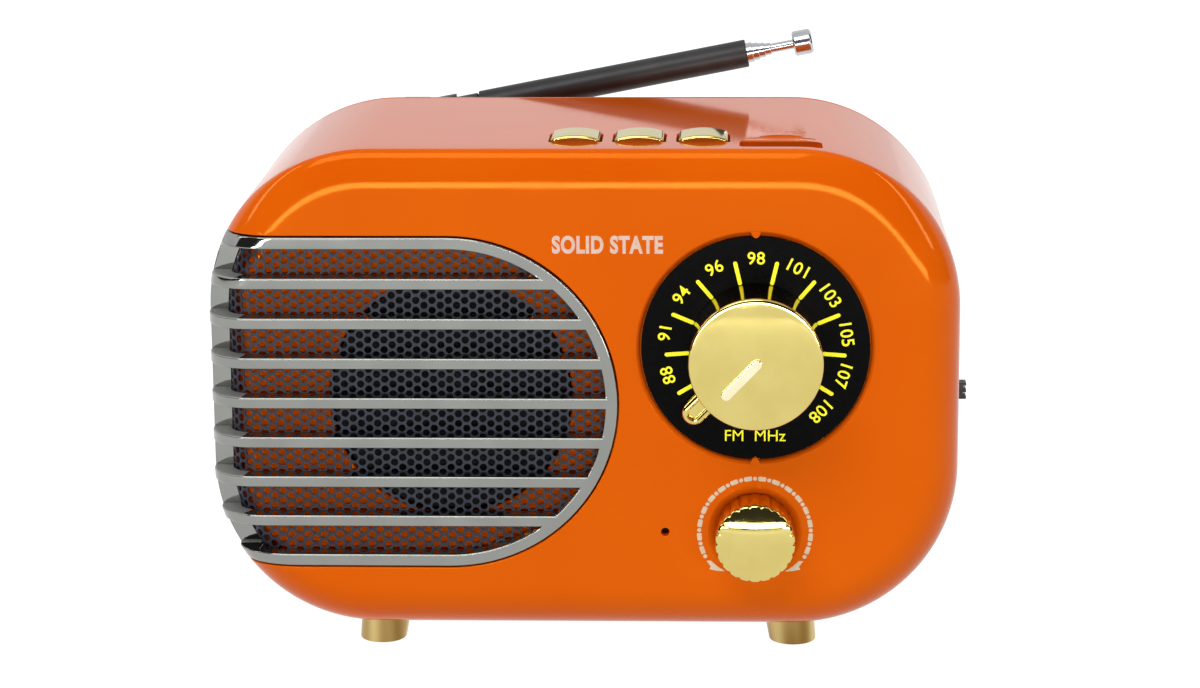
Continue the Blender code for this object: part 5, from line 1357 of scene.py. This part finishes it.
def antenna():
    back = BODY_DEPTH + GAP
    width, height, corner = BRACKET
    plate = slab(rounded_rectangle(width, height, corner, 10, (-PIVOT.x, BRACKET_Z)),
                 edge_levels(BRACKET_THICKNESS, 0.0, 0.0006, steps=4), behind(back))
    hole = straight(circle(PIVOT_HOLE_RADIUS, 32, (PIVOT.x, PIVOT.z)), 0.01, -0.02,
                    Matrix.Translation((0, back, 0)) @ FRONT)
    piece("antenna_bracket_plate", combine(plate, [hole]), BLACK_PLASTIC, "cabinet",
          ["antenna_bracket"])
    pan_screw("antenna_screw_cross", "antenna_screw",
              facing_back(PIVOT.x, PIVOT.z, PIVOT.y + TONGUE_HALF + GAP), 0.0028, 0.0013,
              SCREW_SHANK_RADIUS, 0.010)
    half = HINGE_RADIUS
    outline = [(half * math.cos(math.radians(a)), half * math.sin(math.radians(a)))
               for a in range(90, 271, 7)]
    outline += [(TONGUE_END, -half), (TONGUE_END, half)]
    turn = Matrix.Translation((PIVOT.x, PIVOT.y, PIVOT.z)) @ FRONT
    turn = turn @ Matrix.Rotation(ANTENNA_LIFT, 4, "Z")
    tongue = slab(outline, edge_levels(TONGUE_HALF, -TONGUE_HALF, MOUTH_EDGE, MOUTH_EDGE), turn)
    tongue = combine(tongue, [straight(circle(PIVOT_HOLE_RADIUS, 32), 0.01, -0.01, turn)])
    neck_end = SLEEVE_START - GAP
    neck = turned([(0.0, neck_end + 0.004), (0.0021, neck_end + 0.004), (0.0021, neck_end),
                   (NECK_RADIUS, neck_end, 0.0003), (NECK_RADIUS, 0.0082, 0.0006),
                   (0.0016, 0.0064), (0.0, 0.0064)], ALONG, 48, 5)
    piece("antenna_hinge_block", join(tongue, neck), SLEEVE_BLACK, "antenna_arm",
          ["antenna_hinge"])
    tube("antenna_sleeve", "antenna_arm", SLEEVE_BORE_RADIUS, SLEEVE_RADIUS, SLEEVE_START,
         SLEEVE_END, 0.0003, SLEEVE_BLACK, 96)
    for i in range(4):
        outer = SECTION_RADIUS - i * SECTION_STEP
        tube(f"antenna_section_{i + 1}", f"antenna_section_{i + 1}", outer - SECTION_WALL,
             outer, SLEEVE_START + 0.0045 + 0.001 * i, SLEEVE_END + (i + 1) * SECTION_SHOWS,
             0.00016, CHROME)
    rod = turned([(0.0, TIP_START + 0.002), (ROD_RADIUS, TIP_START + 0.002),
                  (ROD_RADIUS, SLEEVE_START + 0.0085, 0.0002), (0.0, SLEEVE_START + 0.0085)],
                 ALONG, 48)
    piece("antenna_rod_bar", rod, CHROME, "antenna_rod", ["antenna_rod"])
    tip = turned([(0.0, TIP_END - 0.00025), (0.0016, TIP_END - 0.00025, 0.0002),
                  (0.0018, TIP_END, 0.0001), (TIP_RADIUS - 0.0005, TIP_END, 0.0002),
                  (TIP_RADIUS, TIP_END - 0.0005, 0.0002), (TIP_RADIUS, TIP_START + 0.0004, 0.0002),
                  (TIP_RADIUS - 0.0004, TIP_START, 0.0002), (ROD_RADIUS + GAP, TIP_START, 0.0001),
                  (ROD_RADIUS + GAP, TIP_START + 0.0023), (0.0, TIP_START + 0.0023)],
                 ALONG, 72, 3)
    piece("antenna_tip_cap", tip, CHROME, "antenna_rod", ["antenna_tip"])


# Speaker behind the mesh

def speaker_cone():
    place = facing_front(GRILLE_X, GRILLE_Z)
    cone = 0.0245
    rolls = [(0.0255, -0.0089), (cone + 0.0004, -0.0088), (cone - 0.0006, -0.0092)]
    for i in range(9):
        share = i / 8
        radius = cone - 0.0012 - 0.0028 * share
        rolls.append((radius, -0.0093 + 0.0011 * math.sin(math.pi * share) - 0.0008 * share))
    profile = rolls + [(0.0180, -0.0116), (0.0130, -0.0137), (0.0078, -0.0157),
                       (0.0073, -0.0162), (0.0130, -0.0143), (0.0180, -0.0122),
                       (0.0200, -0.0112), (0.0235, -0.0099), (0.0255, -0.0095)]
    cone_piece = turned(profile, place, 96, closed=True)
    piece("speaker_cone_turned", cone_piece, PAPER, "cabinet", ["speaker_cone"])
    cap = [(0.0, -0.0118)]
    for i in range(1, 9):
        angle = math.radians(i * 8.6)
        cap.append((0.0072 * math.sin(angle) / math.sin(math.radians(68.8)),
                    -0.0118 - 0.0031 * (1 - math.cos(angle)) / (1 - math.cos(math.radians(68.8)))))
    cap += [(0.0068, -0.0152), (0.0, -0.0152)]
    piece("speaker_dust_cap_domed", turned(cap, place, 72), PAPER, "cabinet",
          ["speaker_dust_cap"])


front_cabinet()
rear_cover()
speaker_grille()
mesh_screen()
dial()
tuning_knob()
volume_knob()
volume_ring()
front_words()
keys()
usb_shell()
pictograms()
slide_switch()
feet()
back_pieces()
antenna()
speaker_cone()


# Floor, light and camera

FLOOR_REACH = 6.0
FLOOR_GREY = (0.22, 0.22, 0.22, 1.0)
FLOOR_SHARES = {"Is Glossy Ray": 0.8, "Is Diffuse Ray": 0.2}
WALL_BEHIND = [(0.16, 0.0), (0.52, 1.0)]
CEILING = [(0.62, 0.0), (0.9, 0.85)]
DARKEST_WORLD = 0.05
LAMPS_LOOK_AT = Vector((0.0, 0.0, 0.06))
# azimuth and elevation in degrees, distance, width and height in metres, power in watts
LAMPS = {
    "key_light": (178, 1.5, 0.72, 1.3, 0.06, 3.3),
    "front_fill": (200, 50, 2.4, 1.6, 0.9, 21),
    "left_strip": (262, 34, 2.0, 0.28, 1.1, 5),
    "right_strip": (100, 30, 2.0, 0.28, 1.1, 6),
}
CAMERA_AT = (0.03129, -0.73539, 0.23322)
CAMERA_ANGLES = (-2.33, -13.08, -0.41)
CAMERA_LENS = 102.62


def studio():
    mesh = bpy.data.meshes.new("floor")
    corners = [(x * FLOOR_REACH, y * FLOOR_REACH, 0)
               for x, y in ((-1, -1), (1, -1), (1, 1), (-1, 1))]
    mesh.from_pydata(corners, [], [(0, 1, 2, 3)])
    floor = bpy.data.objects.new("floor", mesh)
    bpy.context.scene.collection.objects.link(floor)
    pale = bpy.data.materials.new("pale_floor")
    pale.use_nodes = True
    shader = pale.node_tree.nodes["Principled BSDF"]
    shader.inputs["Base Color"].default_value = FLOOR_GREY
    shader.inputs["Roughness"].default_value = 0.9
    shader.inputs["Specular IOR Level"].default_value = 0.0
    shader.inputs["Emission Color"].default_value = (1.0, 1.0, 1.0, 1.0)
    nodes, links = pale.node_tree.nodes, pale.node_tree.links
    rays = nodes.new("ShaderNodeLightPath")
    glow = nodes.new("ShaderNodeMath")
    glow.operation = "MULTIPLY"
    for socket, (ray, seen) in zip(glow.inputs, FLOOR_SHARES.items()):
        share = nodes.new("ShaderNodeMapRange")
        share.inputs["To Min"].default_value = 1.0
        share.inputs["To Max"].default_value = seen
        links.new(rays.outputs[ray], share.inputs["Value"])
        links.new(share.outputs["Result"], socket)
    links.new(glow.outputs["Value"], shader.inputs["Emission Strength"])
    mesh.materials.append(pale)

    world = bpy.data.worlds.new("studio")
    bpy.context.scene.world = world
    world.use_nodes = True
    tree = world.node_tree
    tree.nodes.clear()
    place = tree.nodes.new("ShaderNodeTexCoord")
    parts = tree.nodes.new("ShaderNodeSeparateXYZ")
    tree.links.new(place.outputs["Generated"], parts.inputs["Vector"])

    def brightest(one, two):
        made = tree.nodes.new("ShaderNodeMath")
        made.operation = "MAXIMUM"
        tree.links.new(one, made.inputs[0])
        if isinstance(two, float):
            made.inputs[1].default_value = two
        else:
            tree.links.new(two, made.inputs[1])
        return made.outputs["Value"]

    back = colour_ramp(tree, parts.outputs["Y"], WALL_BEHIND, "EASE")
    above = colour_ramp(tree, parts.outputs["Z"], CEILING, "EASE")
    level = brightest(brightest(back, above), DARKEST_WORLD)
    light = tree.nodes.new("ShaderNodeBackground")
    tree.links.new(level, light.inputs["Strength"])
    out = tree.nodes.new("ShaderNodeOutputWorld")
    tree.links.new(light.outputs["Background"], out.inputs["Surface"])

    for name, (azimuth, elevation, distance, width, height, power) in LAMPS.items():
        lamp = bpy.data.lights.new(name, "AREA")
        lamp.shape = "RECTANGLE"
        lamp.size, lamp.size_y = width, height
        lamp.energy = power
        held = bpy.data.objects.new(name, lamp)
        a, e = math.radians(azimuth), math.radians(elevation)
        towards = Vector((math.sin(a) * math.cos(e), math.cos(a) * math.cos(e), math.sin(e)))
        held.location = LAMPS_LOOK_AT + towards * distance
        held.rotation_euler = towards.to_track_quat("Z", "Y").to_euler()
        bpy.context.scene.collection.objects.link(held)


def camera():
    yaw, pitch, roll = (math.radians(angle) for angle in CAMERA_ANGLES)
    forward = Vector((math.sin(yaw) * math.cos(pitch), math.cos(yaw) * math.cos(pitch),
                      math.sin(pitch)))
    level = Vector((math.cos(yaw), -math.sin(yaw), 0.0))
    upright = level.cross(forward)
    right = level * math.cos(roll) + upright * math.sin(roll)
    up = upright * math.cos(roll) - level * math.sin(roll)
    lens = bpy.data.cameras.new("camera")
    lens.lens = CAMERA_LENS
    lens.sensor_width = 36.0
    lens.clip_start, lens.clip_end = 0.01, 20.0
    held = bpy.data.objects.new("camera", lens)
    held.matrix_world = Matrix.Translation(CAMERA_AT) @ Matrix(
        (right, up, -forward)).transposed().to_4x4()
    bpy.context.scene.collection.objects.link(held)
    bpy.context.scene.camera = held


studio()
camera()
bpy.context.scene.view_settings.view_transform = "Standard"
